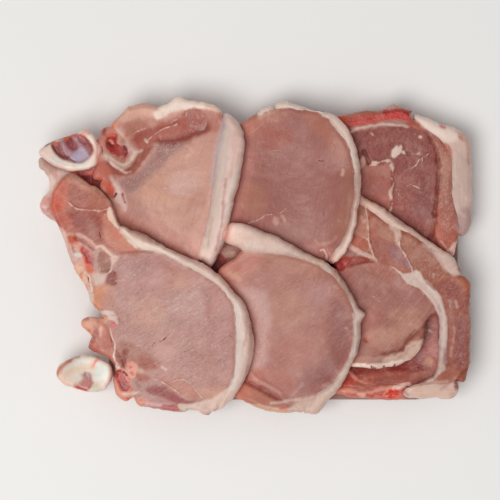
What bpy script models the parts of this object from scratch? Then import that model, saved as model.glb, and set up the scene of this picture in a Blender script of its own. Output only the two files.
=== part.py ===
"""A tray of raw bone-in pork chops, laid overlapping like shingles on a shallow foam tray.

Units are metres with +Z up. The tray stands on z = 0 and the pile is centred on the origin. Every
chop is a soft slab that drapes over what lies below it. Its fat cap and its cut bone are solids of
their own along its edge, so the lean meat, the fat and the bone of a chop can be told apart.
"""

import math

import bmesh
import bpy
import numpy as np
from mathutils import Vector
from mathutils.bvhtree import BVHTree

MM = 0.001

# The foam tray.
TRAY_LEFT, TRAY_RIGHT = -0.104, 0.143
TRAY_NEAR, TRAY_FAR = -0.1015, 0.088
TRAY_HEIGHT = 0.012
TRAY_WALL = 0.003
TRAY_LIP = 0.006
TRAY_SLOPE = 0.007
TRAY_CORNER = 0.030
TRAY_CORNER_STEPS = 6
TRAY_BEVEL = 0.0008
TRAY_BEVEL_ANGLE = math.radians(30)

# How a chop lies on what is below it: the gap it must keep, the one it aims for, how gently it
# bends, the width of the hollows it spans and how far it sags for each metre past the tray.
GAP = 0.0003
CLEARANCE = 0.0006
EXTRA_LIFT = 0.0001
STIFFNESS = 0.014
BRIDGE = 0.010
OVERHANG_SAG = 0.10
SETTLING_TURNS = 4
ROUNDS = 8

# How a slab is shaped: its round edges and the seam between lean and fat or bone.
TOP_ROUND = 0.0040
UNDER_ROUND = 0.0025
MOST_ROUND = 0.45
SEAM_GAP = 0.0005
SEAM_END = 0.00075

# How a slab is meshed. The cells are shifted, so that no cut runs through the middle.
RIM_WIDTH = 0.0025
CELL = 0.013
CELL_SHIFT = 0.31
CELL_MERGE = 0.00001
OUTLINE_STEP = 0.0065
LEAST_STEP = 0.0006
CURVE_SAMPLES = 12
BAND_ROWS = 3
BAND_EASE = 1.4

# The plan grid on which heights are kept.
FIELD_STEP = 0.002
FIELD_HALF = (0.160, 0.120)
BIG = 1.0
TINY = 1e-9

COLLECTION = "pork_chop_tray"

FINISHES = {
    "lean": ((0.56, 0.29, 0.24, 1.0), 0.38),
    "dark_lean": ((0.33, 0.11, 0.09, 1.0), 0.36),
    "fat": ((0.80, 0.62, 0.52, 1.0), 0.42),
    "bone": ((0.82, 0.75, 0.66, 1.0), 0.40),
    "marrow": ((0.52, 0.10, 0.07, 1.0), 0.34),
    "foam": ((0.84, 0.81, 0.78, 1.0), 0.62),
}


def clear_scene():
    """Removes every object of the scene."""
    for thing in list(bpy.data.objects):
        bpy.data.objects.remove(thing, do_unlink=True)


def make_finishes():
    """One Principled material for each finish."""
    made = {}
    for name, (colour, roughness) in FINISHES.items():
        material = bpy.data.materials.new(name)
        material.use_nodes = True
        shader = material.node_tree.nodes["Principled BSDF"]
        shader.inputs["Base Color"].default_value = colour
        shader.inputs["Roughness"].default_value = roughness
        shader.inputs["Metallic"].default_value = 0.0
        made[name] = material
    return made


# Curves in plan.


def smooth_line(points, step=OUTLINE_STEP):
    """An open curve through points given in millimetres, with a vertex about every step."""
    points = np.array(points, float) * MM
    ends = np.vstack([2 * points[0] - points[1], points, 2 * points[-1] - points[-2]])
    dense = []
    for i in range(1, len(ends) - 2):
        a, b, c, d = ends[i - 1 : i + 3]
        for t in np.linspace(0.0, 1.0, CURVE_SAMPLES, endpoint=False):
            bend = (2 * a - 5 * b + 4 * c - d) * t**2 + (3 * b - a - 3 * c + d) * t**3
            dense.append(b + 0.5 * ((c - a) * t + bend))
    dense = np.array([*dense, points[-1]])
    return resample(dense, max(2, round(path_length(dense) / step)))


def path_length(line):
    """The length of an open path."""
    return float(np.linalg.norm(np.diff(line, axis=0), axis=1).sum())


def resample(line, segments):
    """The same path with this many equal segments."""
    along = np.concatenate([[0.0], np.cumsum(np.linalg.norm(np.diff(line, axis=0), axis=1))])
    wanted = np.linspace(0.0, along[-1], segments + 1)
    return np.column_stack([np.interp(wanted, along, line[:, k]) for k in range(2)])


def without_repeats(line):
    """The closed line without vertices that almost coincide."""
    kept = [line[0]]
    for point in line[1:]:
        if np.linalg.norm(point - kept[-1]) > LEAST_STEP:
            kept.append(point)
    if np.linalg.norm(kept[0] - kept[-1]) < LEAST_STEP:
        kept.pop()
    return np.array(kept)


def counter_clockwise(line):
    """The closed line, turned round if it goes clockwise."""
    following = np.roll(line, -1, axis=0)
    area = (line[:, 0] * following[:, 1] - following[:, 0] * line[:, 1]).sum()
    return line if area > 0 else line[::-1]


def inside(line, x, y):
    """Which points lie in the closed line."""
    found = np.zeros(np.shape(x), bool)
    for (ax, ay), (bx, by) in zip(line, np.roll(line, -1, axis=0), strict=True):
        if ay == by:
            continue
        crosses = (ay > y) != (by > y)
        found ^= crosses & (x < (bx - ax) * (y - ay) / (by - ay) + ax)
    return found


def distance_to(line, x, y):
    """The distance from each point to the closed line."""
    best = np.full(np.shape(x), BIG)
    for (ax, ay), (bx, by) in zip(line, np.roll(line, -1, axis=0), strict=True):
        long2 = max((bx - ax) ** 2 + (by - ay) ** 2, TINY**2)
        t = np.clip(((x - ax) * (bx - ax) + (y - ay) * (by - ay)) / long2, 0.0, 1.0)
        best = np.minimum(best, np.hypot(x - ax - t * (bx - ax), y - ay - t * (by - ay)))
    return best


# Heights in plan.

FIELD_X, FIELD_Y = np.meshgrid(
    np.arange(-FIELD_HALF[0], FIELD_HALF[0] + FIELD_STEP / 2, FIELD_STEP),
    np.arange(-FIELD_HALF[1], FIELD_HALF[1] + FIELD_STEP / 2, FIELD_STEP),
)


def spread(field, radius):
    """The highest value within radius of each place."""
    reach = round(radius / FIELD_STEP)
    result = field.copy()
    for i in range(-reach, reach + 1):
        for j in range(-reach, reach + 1):
            if i * i + j * j <= reach * reach:
                result = np.maximum(result, np.roll(field, (i, j), (0, 1)))
    return result


def blur(field, weight, sigma):
    """A Gaussian average of the field over the places that have weight."""
    reach = math.ceil(3 * sigma / FIELD_STEP)
    kernel = np.exp(-0.5 * (np.arange(-reach, reach + 1) * FIELD_STEP / sigma) ** 2)

    def pass_over(values):
        for axis in (0, 1):
            values = np.apply_along_axis(np.convolve, axis, values, kernel, "same")
        return values

    return pass_over(field * weight) / np.maximum(pass_over(weight), TINY)


def read(field, x, y):
    """The field's value at each place, between its grid points."""
    u = np.clip((x + FIELD_HALF[0]) / FIELD_STEP, 0, field.shape[1] - 1.001)
    v = np.clip((y + FIELD_HALF[1]) / FIELD_STEP, 0, field.shape[0] - 1.001)
    i, j = v.astype(int), u.astype(int)
    a, b = v - i, u - j
    low = field[i, j] * (1 - b) + field[i, j + 1] * b
    high = field[i + 1, j] * (1 - b) + field[i + 1, j + 1] * b
    return low * (1 - a) + high * a


def surface_of(objects, from_above):
    """The height of the topmost, or of the lowest, surface of the objects over the grid."""
    start, way = (BIG, Vector((0.0, 0.0, -1.0))) if from_above else (-BIG, Vector((0.0, 0.0, 1.0)))
    better = max if from_above else min
    field = np.full(FIELD_X.shape, -BIG if from_above else BIG)
    depsgraph = bpy.context.evaluated_depsgraph_get()
    for thing in objects:
        mesh = thing.evaluated_get(depsgraph).data
        corners = np.array([vert.co for vert in mesh.vertices])
        tree = BVHTree.FromPolygons(corners.tolist(), [face.vertices[:] for face in mesh.polygons])
        low, high = corners.min(axis=0), corners.max(axis=0)
        near = (FIELD_X >= low[0]) & (FIELD_X <= high[0]) & (FIELD_Y >= low[1]) & (FIELD_Y <= high[1])
        for i, j in np.argwhere(near):
            hit = tree.ray_cast(Vector((FIELD_X[i, j], FIELD_Y[i, j], start)), way)[0]
            if hit is not None:
                field[i, j] = better(field[i, j], hit.z)
    return field


class Pile:
    """What lies on the tray so far, as the height of its upper surface."""

    def __init__(self):
        beyond = np.hypot(
            np.maximum(np.maximum(TRAY_LEFT - FIELD_X, FIELD_X - TRAY_RIGHT), 0.0),
            np.maximum(np.maximum(TRAY_NEAR - FIELD_Y, FIELD_Y - TRAY_FAR), 0.0),
        )
        self.upper = np.where(beyond > 0, TRAY_HEIGHT - OVERHANG_SAG * beyond, TRAY_WALL)

    def add(self, objects):
        """Takes the objects into the pile."""
        self.upper = np.maximum(self.upper, surface_of(objects, from_above=True))

    def underside(self, outline, raised):
        """Where a soft slab with this outline comes to rest on the pile raised by so much."""
        near = distance_to(outline, FIELD_X, FIELD_Y) < FIELD_STEP
        held = inside(outline, FIELD_X, FIELD_Y) | near
        weight = held.astype(float)
        support = np.where(held, self.upper, -BIG)
        touching = spread(support, 2 * FIELD_STEP) + CLEARANCE + raised
        rest = np.where(held, np.maximum(spread(support, BRIDGE), touching), 0.0)
        for _ in range(SETTLING_TURNS):
            rest = np.maximum(blur(rest, weight, STIFFNESS), np.where(held, touching, -BIG))
        beyond = blur(np.where(held, rest, 0.0), weight, 2 * FIELD_STEP)
        return np.where(held, rest, beyond)


# Slabs and the bands along their edges.


def new_object(name, bm, finish):
    """The sheet or body in bm as an object of the collection, with its finish."""
    mesh = bpy.data.meshes.new(name)
    bm.to_mesh(mesh)
    bm.free()
    mesh.materials.append(finish)
    thing = bpy.data.objects.new(name, mesh)
    bpy.data.collections[COLLECTION].objects.link(thing)
    return thing


def rounded(distance, radius):
    """How far a round edge of this radius falls back at a distance in from the edge."""
    part = 1.0 - np.minimum(distance, radius) / radius
    return radius * (1.0 - np.sqrt(1.0 - part**2))


class Lie:
    """The two surfaces of one chop: the rest height, the thickness and the round edges."""

    def __init__(self, outline, rest, thickness):
        self.outline = outline
        self.rest = rest
        self.thickness = thickness

    def heights(self, x, y):
        """The chop's lower and upper surface at each place."""
        edge = distance_to(self.outline, x, y)
        base = read(self.rest, x, y)
        top_round = min(TOP_ROUND, MOST_ROUND * self.thickness)
        low = base + rounded(edge, UNDER_ROUND)
        high = base + self.thickness - rounded(edge, top_round)
        return low, high


def give_body(bm, lie):
    """Turns the flat sheet in bm into the closed body between the two surfaces of the chop."""
    bmesh.ops.triangulate(bm, faces=bm.faces[:])
    lower = bm.verts[:]
    grown = bmesh.ops.extrude_face_region(bm, geom=bm.faces[:], use_keep_orig=True)["geom"]
    upper = [v for v in grown if isinstance(v, bmesh.types.BMVert)]
    for verts, side in ((lower, 0), (upper, 1)):
        x = np.array([v.co.x for v in verts])
        y = np.array([v.co.y for v in verts])
        heights = lie.heights(x, y)[side]
        for vert, z in zip(verts, heights, strict=True):
            vert.co.z = z
    bmesh.ops.recalc_face_normals(bm, faces=bm.faces[:])


def cut_into_cells(bm, faces):
    """Cuts the sheet's inner faces along a square grid, so that it can bend."""
    for axis, half in ((0, FIELD_HALF[0]), (1, FIELD_HALF[1])):
        normal = Vector((1.0, 0.0, 0.0)) if axis == 0 else Vector((0.0, 1.0, 0.0))
        for k in range(-math.ceil(half / CELL), math.ceil(half / CELL) + 1):
            edges = {e for f in faces for e in f.edges}
            verts = {v for f in faces for v in f.verts}
            cut = bmesh.ops.bisect_plane(
                bm,
                geom=[*faces, *edges, *verts],
                dist=CELL_MERGE,
                plane_co=normal * (k + CELL_SHIFT) * CELL,
                plane_no=normal,
            )
            faces = [g for g in cut["geom"] if isinstance(g, bmesh.types.BMFace)]


def slab(name, outline, lie, finish):
    """A soft flat piece with this outline, lying as lie says."""
    bm = bmesh.new()
    corners = [bm.verts.new((x, y, 0.0)) for x, y in counter_clockwise(outline)]
    sheet = bm.faces.new(corners)
    bmesh.ops.inset_region(bm, faces=[sheet], thickness=RIM_WIDTH, use_even_offset=True)
    cut_into_cells(bm, [max(bm.faces, key=lambda f: f.calc_area())])
    give_body(bm, lie)
    return new_object(name, bm, finish)


def band(name, outer, inner, lie, finish):
    """A strip along the chop's edge, between two lines with as many vertices each."""
    count = len(outer) - 1
    outer = trimmed(outer)
    inner = trimmed(inner)
    across = outer - inner
    width = np.maximum(np.linalg.norm(across, axis=1, keepdims=True), TINY)
    inner = inner + across / width * SEAM_GAP
    bm = bmesh.new()
    bmesh.ops.create_grid(bm, x_segments=count, y_segments=BAND_ROWS, size=1.0)
    stations = np.linspace(-1.0, 1.0, count + 1)
    for vert in bm.verts:
        row = 0.5 * (vert.co.y + 1.0)
        share = 1.0 - (1.0 - row) ** BAND_EASE
        start = [np.interp(vert.co.x, stations, inner[:, k]) for k in range(2)]
        end = [np.interp(vert.co.x, stations, outer[:, k]) for k in range(2)]
        vert.co.x = start[0] + share * (end[0] - start[0])
        vert.co.y = start[1] + share * (end[1] - start[1])
    give_body(bm, lie)
    return new_object(name, bm, finish)


def trimmed(line):
    """The line with its two ends drawn in a little along it."""
    line = line.copy()
    for end, following in ((0, 1), (-1, -2)):
        way = line[following] - line[end]
        line[end] += way / np.linalg.norm(way) * SEAM_END
    return line


class Edge:
    """One stretch of a chop's edge: bare lean, or a band of fat or bone with a seam inside it.

    The seam may start a little later than the band, where loose gives the share left free.
    """

    def __init__(self, outer, inner=None, part=None, finish=None, loose=0):
        self.part = part
        self.finish = finish
        self.outer = smooth_line(outer)
        self.inner = None
        self.seam = self.outer
        if inner is not None:
            line = smooth_line(inner)
            count = max(len(line), len(self.outer)) - 1
            self.outer = resample(self.outer, count)
            self.inner = resample(line, count)
            self.seam = self.inner[round(loose * count) :]


class Chop:
    """A chop as its edge stretches, going clockwise, and its thickness in millimetres."""

    def __init__(self, name, thickness, edges, finish="lean"):
        self.name = name
        self.thickness = thickness * MM
        self.edges = edges
        self.finish = finish

    def build(self, rest, finishes):
        """The chop's lean and its bands, lying at the rest heights."""
        outline = without_repeats(np.vstack([e.outer for e in self.edges]))
        lean = without_repeats(np.vstack([e.seam for e in self.edges]))
        lie = Lie(outline, rest, self.thickness)
        has_bands = any(e.part for e in self.edges)
        body_name = f"{self.name}_lean" if has_bands else self.name
        made = [slab(body_name, lean, lie, finishes[self.finish])]
        for edge in self.edges:
            if edge.part:
                name = f"{self.name}_{edge.part}"
                made.append(band(name, edge.outer, edge.inner, lie, finishes[edge.finish]))
        return made

    def lay(self, pile, finishes):
        """Builds the chop on the pile, raised where its coarse facets would touch what is below."""
        outline = without_repeats(np.vstack([e.outer for e in self.edges]))
        raised = np.zeros(FIELD_X.shape)
        for turn in range(ROUNDS):
            made = self.build(pile.underside(outline, raised), finishes)
            low = surface_of(made, from_above=False)
            short = np.where(low < BIG, pile.upper + CLEARANCE - low, 0.0)
            if short.max() <= CLEARANCE - GAP or turn == ROUNDS - 1:
                break
            raised += spread(np.maximum(short, 0.0), CELL) + EXTRA_LIFT
            for thing in made:
                mesh = thing.data
                bpy.data.objects.remove(thing, do_unlink=True)
                bpy.data.meshes.remove(mesh)
        pile.add(made)
        return made


# The pieces, from the lowest to the highest. Outlines are in millimetres and go clockwise.


def left_under_piece():
    edge = [
        (-152, 68), (-140, 76), (-120, 80), (-102, 77), (-97, 58), (-99, 34), (-106, 18),
        (-122, 14), (-138, 22), (-147, 28), (-152, 36), (-150, 42), (-145, 46), (-144, 53),
        (-147, 59), (-152, 62), (-152, 68),
    ]
    return Chop("under_chop_left", 9, [Edge(edge)], "fat")


def middle_under_piece():
    edge = [
        (-91, -20), (-84, 22), (-60, 46), (-25, 52), (5, 40), (22, 5), (20, -40), (0, -70),
        (-40, -80), (-76, -62), (-90, -35), (-91, -20),
    ]
    return Chop("under_chop_middle", 11, [Edge(edge)])


def lower_right_chop():
    lean = Edge([
        (45, -86), (41, -59), (48, -28), (70, -15), (101, -13), (125, -27), (131, -50),
        (131, -72), (125, -88), (113, -92),
    ])
    bone = Edge(
        [(108, -99), (93, -101), (75, -99), (56, -96), (44, -94)],
        [(107, -91), (93, -90), (75, -92), (59, -90), (46, -88)],
        "bone",
        "marrow",
    )
    return Chop("lower_right_chop", 11, [lean, bone], "dark_lean")


def upper_right_chop():
    bone = Edge(
        [(52, 97), (66, 100), (78, 102), (89, 102), (97, 107), (102, 104), (111, 100)],
        [(54, 86), (66, 88), (77, 90), (85, 92), (94, 92), (105, 91), (112, 94)],
        "bone",
        "marrow",
    )
    fat = Edge(
        [
            (116, 98), (126, 95), (138, 90), (146, 87), (151, 78), (152, 53), (152, 29),
            (150, 20), (146, 12),
        ],
        [
            (117, 93), (122, 88), (128, 83), (134, 77), (137, 70), (138, 56), (138, 44),
            (140, 32), (143, 23), (142, 14),
        ],
        "fat",
        "fat",
    )
    hidden = Edge([(140, 6), (135, -4), (115, -8), (87, 1), (63, 18), (51, 46), (50, 80)])
    return Chop("upper_right_chop", 12, [bone, fat, hidden], "dark_lean")


def flank_chop():
    fat = Edge(
        [
            (63, 48), (73, 43), (90, 33), (101, 25), (119, 11), (134, 2), (141, -6), (145, -12),
        ],
        [
            (64, 40), (74, 35), (82, 30), (89, 25), (96, 20), (103, 17), (111, 13), (117, 9),
            (122, 4), (129, -4), (133, -10), (140, -14),
        ],
        "fat",
        "fat",
    )
    flank = Edge([(147, -14), (152, -21), (150, -31), (151, -60), (149, -81), (145, -90)])
    corner = Edge(
        [(143, -95), (138, -99), (131, -100), (118, -100), (108, -99)],
        [(140, -90), (135, -89), (129, -89), (118, -90), (109, -93)],
        "corner_fat",
        "fat",
    )
    slot = Edge([
        (112, -90), (123, -86), (128, -78), (129, -62), (129, -47), (127, -39), (122, -43),
        (118, -50), (119, -57), (115, -66), (103, -76), (92, -78), (66, -78),
    ])
    hidden = Edge([(61, -72), (57, -50), (56, -31), (60, -4), (61, 30)])
    return Chop("flank_chop", 12, [fat, flank, corner, slot, hidden])


def upper_middle_chop():
    bare = Edge([(-22, 29), (-25, 53), (-21, 78), (-11, 92), (-3, 97), (3, 102), (11, 106)])
    fat = Edge(
        [
            (14, 108), (18, 109), (32, 105), (49, 100), (62, 93), (70, 75), (73, 62), (73, 47),
            (69, 21), (66, 10), (60, 0), (55, -6),
        ],
        [
            (13, 102), (22, 104), (32, 102), (42, 101), (49, 97), (55, 89), (60, 83), (65, 76),
            (68, 66), (69, 55), (68, 43), (65, 25), (62, 14), (55, 4), (50, -4),
        ],
        "fat",
        "fat",
    )
    hidden = Edge([(46, -11), (31, -13), (5, -4), (-14, 11)])
    return Chop("upper_middle_chop", 12, [bare, fat, hidden])


def lower_middle_chop():
    fat = Edge(
        [
            (-15, 24), (-6, 22), (4, 17), (15, 13), (24, 8), (35, 1), (47, -3), (55, -9),
            (60, -14), (64, -22), (68, -30), (72, -40), (73, -50), (72, -60), (70, -69),
            (60, -90), (46, -108), (37, -111),
        ],
        [
            (-16, 15), (-13, 8), (-8, 3), (0, 2), (11, 2), (22, 0), (35, -3), (44, -7),
            (52, -12), (59, -20), (65, -31), (69, -46), (68, -64), (64, -77), (55, -87),
            (46, -94), (33, -101),
        ],
        "fat",
        "fat",
        loose=0.07,
    )
    bottom = Edge([(31, -108), (16, -110), (0, -106), (-13, -100)])
    side = Edge([(-23, -87), (-28, -59), (-30, -31), (-26, -11), (-20, -6), (-14, -2)])
    return Chop("lower_middle_chop", 12, [fat, bottom, side])


def upper_left_chop():
    top = Edge([
        (-99, 95), (-95, 98), (-90, 104), (-84, 106), (-74, 106), (-69, 104), (-62, 106),
        (-58, 110), (-53, 112), (-47, 109), (-34, 107), (-25, 103),
    ])
    fat = Edge(
        [
            (-21, 101), (-11, 92), (-8, 80), (-8, 72), (-10, 58), (-14, 43), (-18, 27),
            (-21, 10), (-26, 1), (-31, -9),
        ],
        [
            (-23, 98), (-23, 91), (-26, 80), (-28, 67), (-30, 53), (-32, 38), (-34, 22),
            (-37, 6), (-40, -4),
        ],
        "fat",
        "fat",
    )
    hidden = Edge([(-46, -9), (-63, -5), (-81, 4), (-94, 14), (-100, 28), (-104, 44)])
    bone = Edge(
        [(-107, 54), (-109, 64), (-110, 74), (-110, 83), (-106, 91)],
        [(-102, 54), (-93, 62), (-89, 73), (-92, 83), (-101, 91)],
        "bone",
        "bone",
    )
    return Chop("upper_left_chop", 13, [top, fat, hidden, bone])


def lower_left_chop():
    flap = Edge([
        (-144, 35), (-143, 42), (-139, 50), (-129, 58), (-120, 52), (-107, 45), (-100, 36),
        (-97, 26),
    ])
    fat = Edge(
        [
            (-95, 22), (-81, 16), (-58, 4), (-36, -6), (-25, -14), (-15, -25), (-7, -34),
            (-2, -56), (-2, -69), (-7, -85), (-13, -94), (-17, -101), (-24, -106),
        ],
        [
            (-94, 18), (-86, 9), (-79, 4), (-68, 3), (-58, -2), (-47, -8), (-36, -13),
            (-26, -21), (-18, -29), (-14, -42), (-14, -62), (-14, -78), (-16, -89), (-22, -95),
            (-28, -101),
        ],
        "fat",
        "fat",
    )
    bottom = Edge([(-33, -112), (-44, -108), (-52, -109), (-64, -108), (-84, -105)])
    bone = Edge(
        [
            (-90, -103), (-97, -98), (-101, -91), (-98, -84), (-98, -76), (-107, -69),
            (-116, -66), (-117, -60), (-114, -54), (-120, -50), (-120, -45), (-115, -42),
        ],
        [(-86, -98), (-87, -88), (-90, -78), (-98, -64), (-101, -54), (-105, -44)],
        "bone",
        "bone",
    )
    side = Edge([
        (-115, -33), (-118, -21), (-125, -14), (-128, -6), (-132, 7), (-134, 14), (-138, 22),
        (-142, 29),
    ])
    return Chop("lower_left_chop", 13, [flap, fat, bottom, bone, side])


def upper_rib():
    edge = [
        (-152, 73), (-146, 78), (-136, 82), (-126, 85), (-119, 88), (-114, 84), (-112, 75),
        (-112, 67), (-115, 63), (-120, 60), (-131, 60), (-141, 64), (-149, 69), (-152, 73),
    ]
    return Chop("upper_rib_bone", 14, [Edge(edge)], "bone")


def lower_rib():
    edge = [
        (-140, -84), (-139, -79), (-134, -74), (-126, -71), (-118, -70), (-110, -72),
        (-103, -76), (-101, -80), (-101, -85), (-104, -91), (-108, -95), (-117, -95),
        (-125, -93), (-135, -90), (-140, -84),
    ]
    return Chop("lower_rib_bone", 15, [Edge(edge)], "bone")


def outwards(place):
    """The level direction that leads straight out of the tray's rounded outline at a place."""
    x = min(max(place.x, TRAY_LEFT + TRAY_CORNER), TRAY_RIGHT - TRAY_CORNER)
    y = min(max(place.y, TRAY_NEAR + TRAY_CORNER), TRAY_FAR - TRAY_CORNER)
    return Vector((place.x - x, place.y - y, 0.0)).normalized()


def tray(foam):
    """A shallow foam tray with sloping walls, round corners and a flat lip."""
    foot = TRAY_LIP + TRAY_SLOPE
    bm = bmesh.new()
    bmesh.ops.create_grid(bm, x_segments=1, y_segments=1, size=1.0)
    for vert in bm.verts:
        vert.co.x = TRAY_LEFT + foot if vert.co.x < 0 else TRAY_RIGHT - foot
        vert.co.y = TRAY_NEAR + foot if vert.co.y < 0 else TRAY_FAR - foot
    bmesh.ops.bevel(
        bm,
        geom=bm.verts[:],
        offset=TRAY_CORNER - foot,
        segments=TRAY_CORNER_STEPS,
        profile=0.5,
        affect="VERTICES",
    )
    rim = bm.edges[:]
    for out, up in ((TRAY_SLOPE, TRAY_HEIGHT - TRAY_WALL), (TRAY_LIP, 0.0)):
        grown = bmesh.ops.extrude_edge_only(bm, edges=rim)["geom"]
        for vert in [g for g in grown if isinstance(g, bmesh.types.BMVert)]:
            vert.co += outwards(vert.co) * out + Vector((0.0, 0.0, up))
        rim = [g for g in grown if isinstance(g, bmesh.types.BMEdge) and g.is_boundary]
    bmesh.ops.recalc_face_normals(bm, faces=bm.faces[:])
    if sum(face.normal.z * face.calc_area() for face in bm.faces) < 0:
        bmesh.ops.reverse_faces(bm, faces=bm.faces[:])
    thing = new_object("tray", bm, foam)
    wall = thing.modifiers.new("wall", "SOLIDIFY")
    wall.thickness = TRAY_WALL
    wall.offset = 1.0
    wall.use_even_offset = True
    edges = thing.modifiers.new("edges", "BEVEL")
    edges.width = TRAY_BEVEL
    edges.segments = 1
    edges.limit_method = "ANGLE"
    edges.angle_limit = TRAY_BEVEL_ANGLE
    return thing


def main():
    """Lays the whole pile, piece by piece."""
    clear_scene()
    bpy.context.scene.collection.children.link(bpy.data.collections.new(COLLECTION))
    finishes = make_finishes()
    pile = Pile()
    pile.add([tray(finishes["foam"])])
    laid_in_order = (
        left_under_piece,
        middle_under_piece,
        lower_right_chop,
        upper_right_chop,
        flank_chop,
        upper_middle_chop,
        lower_middle_chop,
        upper_rib,
        lower_rib,
        upper_left_chop,
        lower_left_chop,
    )
    for make in laid_in_order:
        make().lay(pile, finishes)


main()
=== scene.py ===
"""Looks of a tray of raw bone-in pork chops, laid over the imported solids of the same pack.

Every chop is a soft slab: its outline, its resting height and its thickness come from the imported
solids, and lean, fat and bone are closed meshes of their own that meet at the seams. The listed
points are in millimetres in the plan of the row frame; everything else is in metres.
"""

import logging
import math
from collections.abc import Callable, Sequence
from dataclasses import dataclass, field
from enum import Enum

import bpy
import numpy as np
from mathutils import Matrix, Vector
from mathutils.bvhtree import BVHTree
from mathutils.geometry import delaunay_2d_cdt
from mathutils.kdtree import KDTree

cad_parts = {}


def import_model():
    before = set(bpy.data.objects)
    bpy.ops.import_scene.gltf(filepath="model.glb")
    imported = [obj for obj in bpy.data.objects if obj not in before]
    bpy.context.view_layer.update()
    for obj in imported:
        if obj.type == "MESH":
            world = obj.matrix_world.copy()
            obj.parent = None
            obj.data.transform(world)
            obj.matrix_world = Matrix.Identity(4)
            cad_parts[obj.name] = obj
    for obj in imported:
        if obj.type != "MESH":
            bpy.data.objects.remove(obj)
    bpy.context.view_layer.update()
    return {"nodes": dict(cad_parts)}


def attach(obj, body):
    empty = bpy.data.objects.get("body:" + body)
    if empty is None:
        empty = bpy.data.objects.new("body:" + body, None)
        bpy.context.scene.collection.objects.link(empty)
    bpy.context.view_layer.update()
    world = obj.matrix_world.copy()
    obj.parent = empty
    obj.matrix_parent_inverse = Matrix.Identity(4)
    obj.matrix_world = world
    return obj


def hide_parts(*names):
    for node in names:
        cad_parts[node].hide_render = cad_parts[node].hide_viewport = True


log = logging.getLogger("pork_chop_tray")

MM = 0.001

Colour = tuple[int, int, int]
Point = tuple[float, float]


def linear(colour: Sequence[float]) -> np.ndarray:
    """The linear light of a colour given in 0 to 255 screen steps."""
    steps = np.asarray(colour, float) / 255
    return np.where(steps <= 0.04045, steps / 12.92, ((steps + 0.055) / 1.055) ** 2.4)


def smoothstep(value: np.ndarray, low: float, high: float) -> np.ndarray:
    """Rises smoothly from 0 at low to 1 at high."""
    t = np.clip((value - low) / (high - low), 0, 1)
    return t * t * (3 - 2 * t)


# Plan geometry.


class Ripple:
    """Smooth seeded noise over the plan, from -1 to 1."""

    TABLE = 128

    def __init__(self, seed: int) -> None:
        """Fills the lattice of random values."""
        self.lattice = np.random.default_rng(seed).uniform(-1, 1, (self.TABLE, self.TABLE))

    def at(self, points: np.ndarray, size: float) -> np.ndarray:
        """Noise with bumps of about this size.

        Args:
            points: Places in the plan, in metres, one row each.
            size: The distance between neighbouring bumps, in metres.

        Returns:
            One value for each point.
        """
        spot = points / size + 40.37
        cell = np.floor(spot).astype(int)
        ease = spot - cell
        ease = ease * ease * (3 - 2 * ease)
        left, low = cell[:, 0] % self.TABLE, cell[:, 1] % self.TABLE
        right, high = (left + 1) % self.TABLE, (low + 1) % self.TABLE
        grid, (u, v) = self.lattice, ease.T
        near = grid[left, low] * (1 - u) + grid[right, low] * u
        far = grid[left, high] * (1 - u) + grid[right, high] * u
        return near * (1 - v) + far * v

    def layers(self, points: np.ndarray, size: float, count: int) -> np.ndarray:
        """Noise whose finer layers have half the size and half the height."""
        total, height = np.zeros(len(points)), 0.0
        for k in range(count):
            total += self.at(points + 0.137 * k, size / 2**k) / 2**k
            height += 1 / 2**k
        return total / height

    def push(self, points: np.ndarray, size: float) -> np.ndarray:
        """Noise as a small vector in the plan for each point."""
        return np.stack([self.at(points, size), self.at(points + 0.731, size)], 1)


def resample_loop(loop: np.ndarray, step: float) -> np.ndarray:
    """A closed loop with a point about every step."""
    closed = np.vstack([loop, loop[:1]])
    along = np.concatenate([[0], np.cumsum(np.linalg.norm(np.diff(closed, axis=0), axis=1))])
    count = max(8, round(along[-1] / step))
    stops = np.linspace(0, along[-1], count, endpoint=False)
    return np.stack([np.interp(stops, along, closed[:, k]) for k in (0, 1)], 1)


def relax_loop(loop: np.ndarray, turns: int) -> np.ndarray:
    """A closed loop whose corners are worn round."""
    for _ in range(turns):
        loop = (np.roll(loop, 1, 0) + 2 * loop + np.roll(loop, -1, 0)) / 4
    return loop


def signed_distance(points: np.ndarray, line: np.ndarray, closed: bool) -> np.ndarray:
    """Distance to a line in the plan, negative inside where the line is closed.

    Args:
        points: Places in the plan, one row each.
        line: The corners of the line.
        closed: Whether the last corner joins the first.

    Returns:
        One distance for each point.
    """
    ends = np.roll(line, -1, 0) if closed else line[1:]
    starts = line if closed else line[:-1]
    best = np.full(len(points), np.inf)
    inside = np.zeros(len(points), bool)
    for a, b in zip(starts, ends):
        run = b - a
        t = np.clip(((points - a) @ run) / max(run @ run, 1e-12), 0, 1)
        best = np.minimum(best, np.hypot(*(points - a - t[:, None] * run).T))
        if closed:
            crosses = (a[1] > points[:, 1]) != (b[1] > points[:, 1])
            rise = run[1] if abs(run[1]) > 1e-12 else 1e-12
            inside ^= crosses & (points[:, 0] < a[0] + run[0] * (points[:, 1] - a[1]) / rise)
    return np.where(inside, -best, best)


def smooth_corners(points: np.ndarray, closed: bool, pieces: int = 5) -> np.ndarray:
    """A Catmull-Rom curve through the points."""
    if len(points) < 3:
        return points
    if closed:
        ends = np.vstack([points[-1:], points, points[:2]])
    else:
        ends = np.vstack([2 * points[0] - points[1], points, 2 * points[-1] - points[-2]])
    curve = []
    for a, b, c, d in zip(ends, ends[1:], ends[2:], ends[3:]):
        for t in np.arange(pieces) / pieces:
            bend = (2 * a - 5 * b + 4 * c - d) * t**2 + (3 * b - a - 3 * c + d) * t**3
            curve.append(b + 0.5 * ((c - a) * t + bend))
    return np.array(curve if closed else [*curve, points[-1]])


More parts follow.
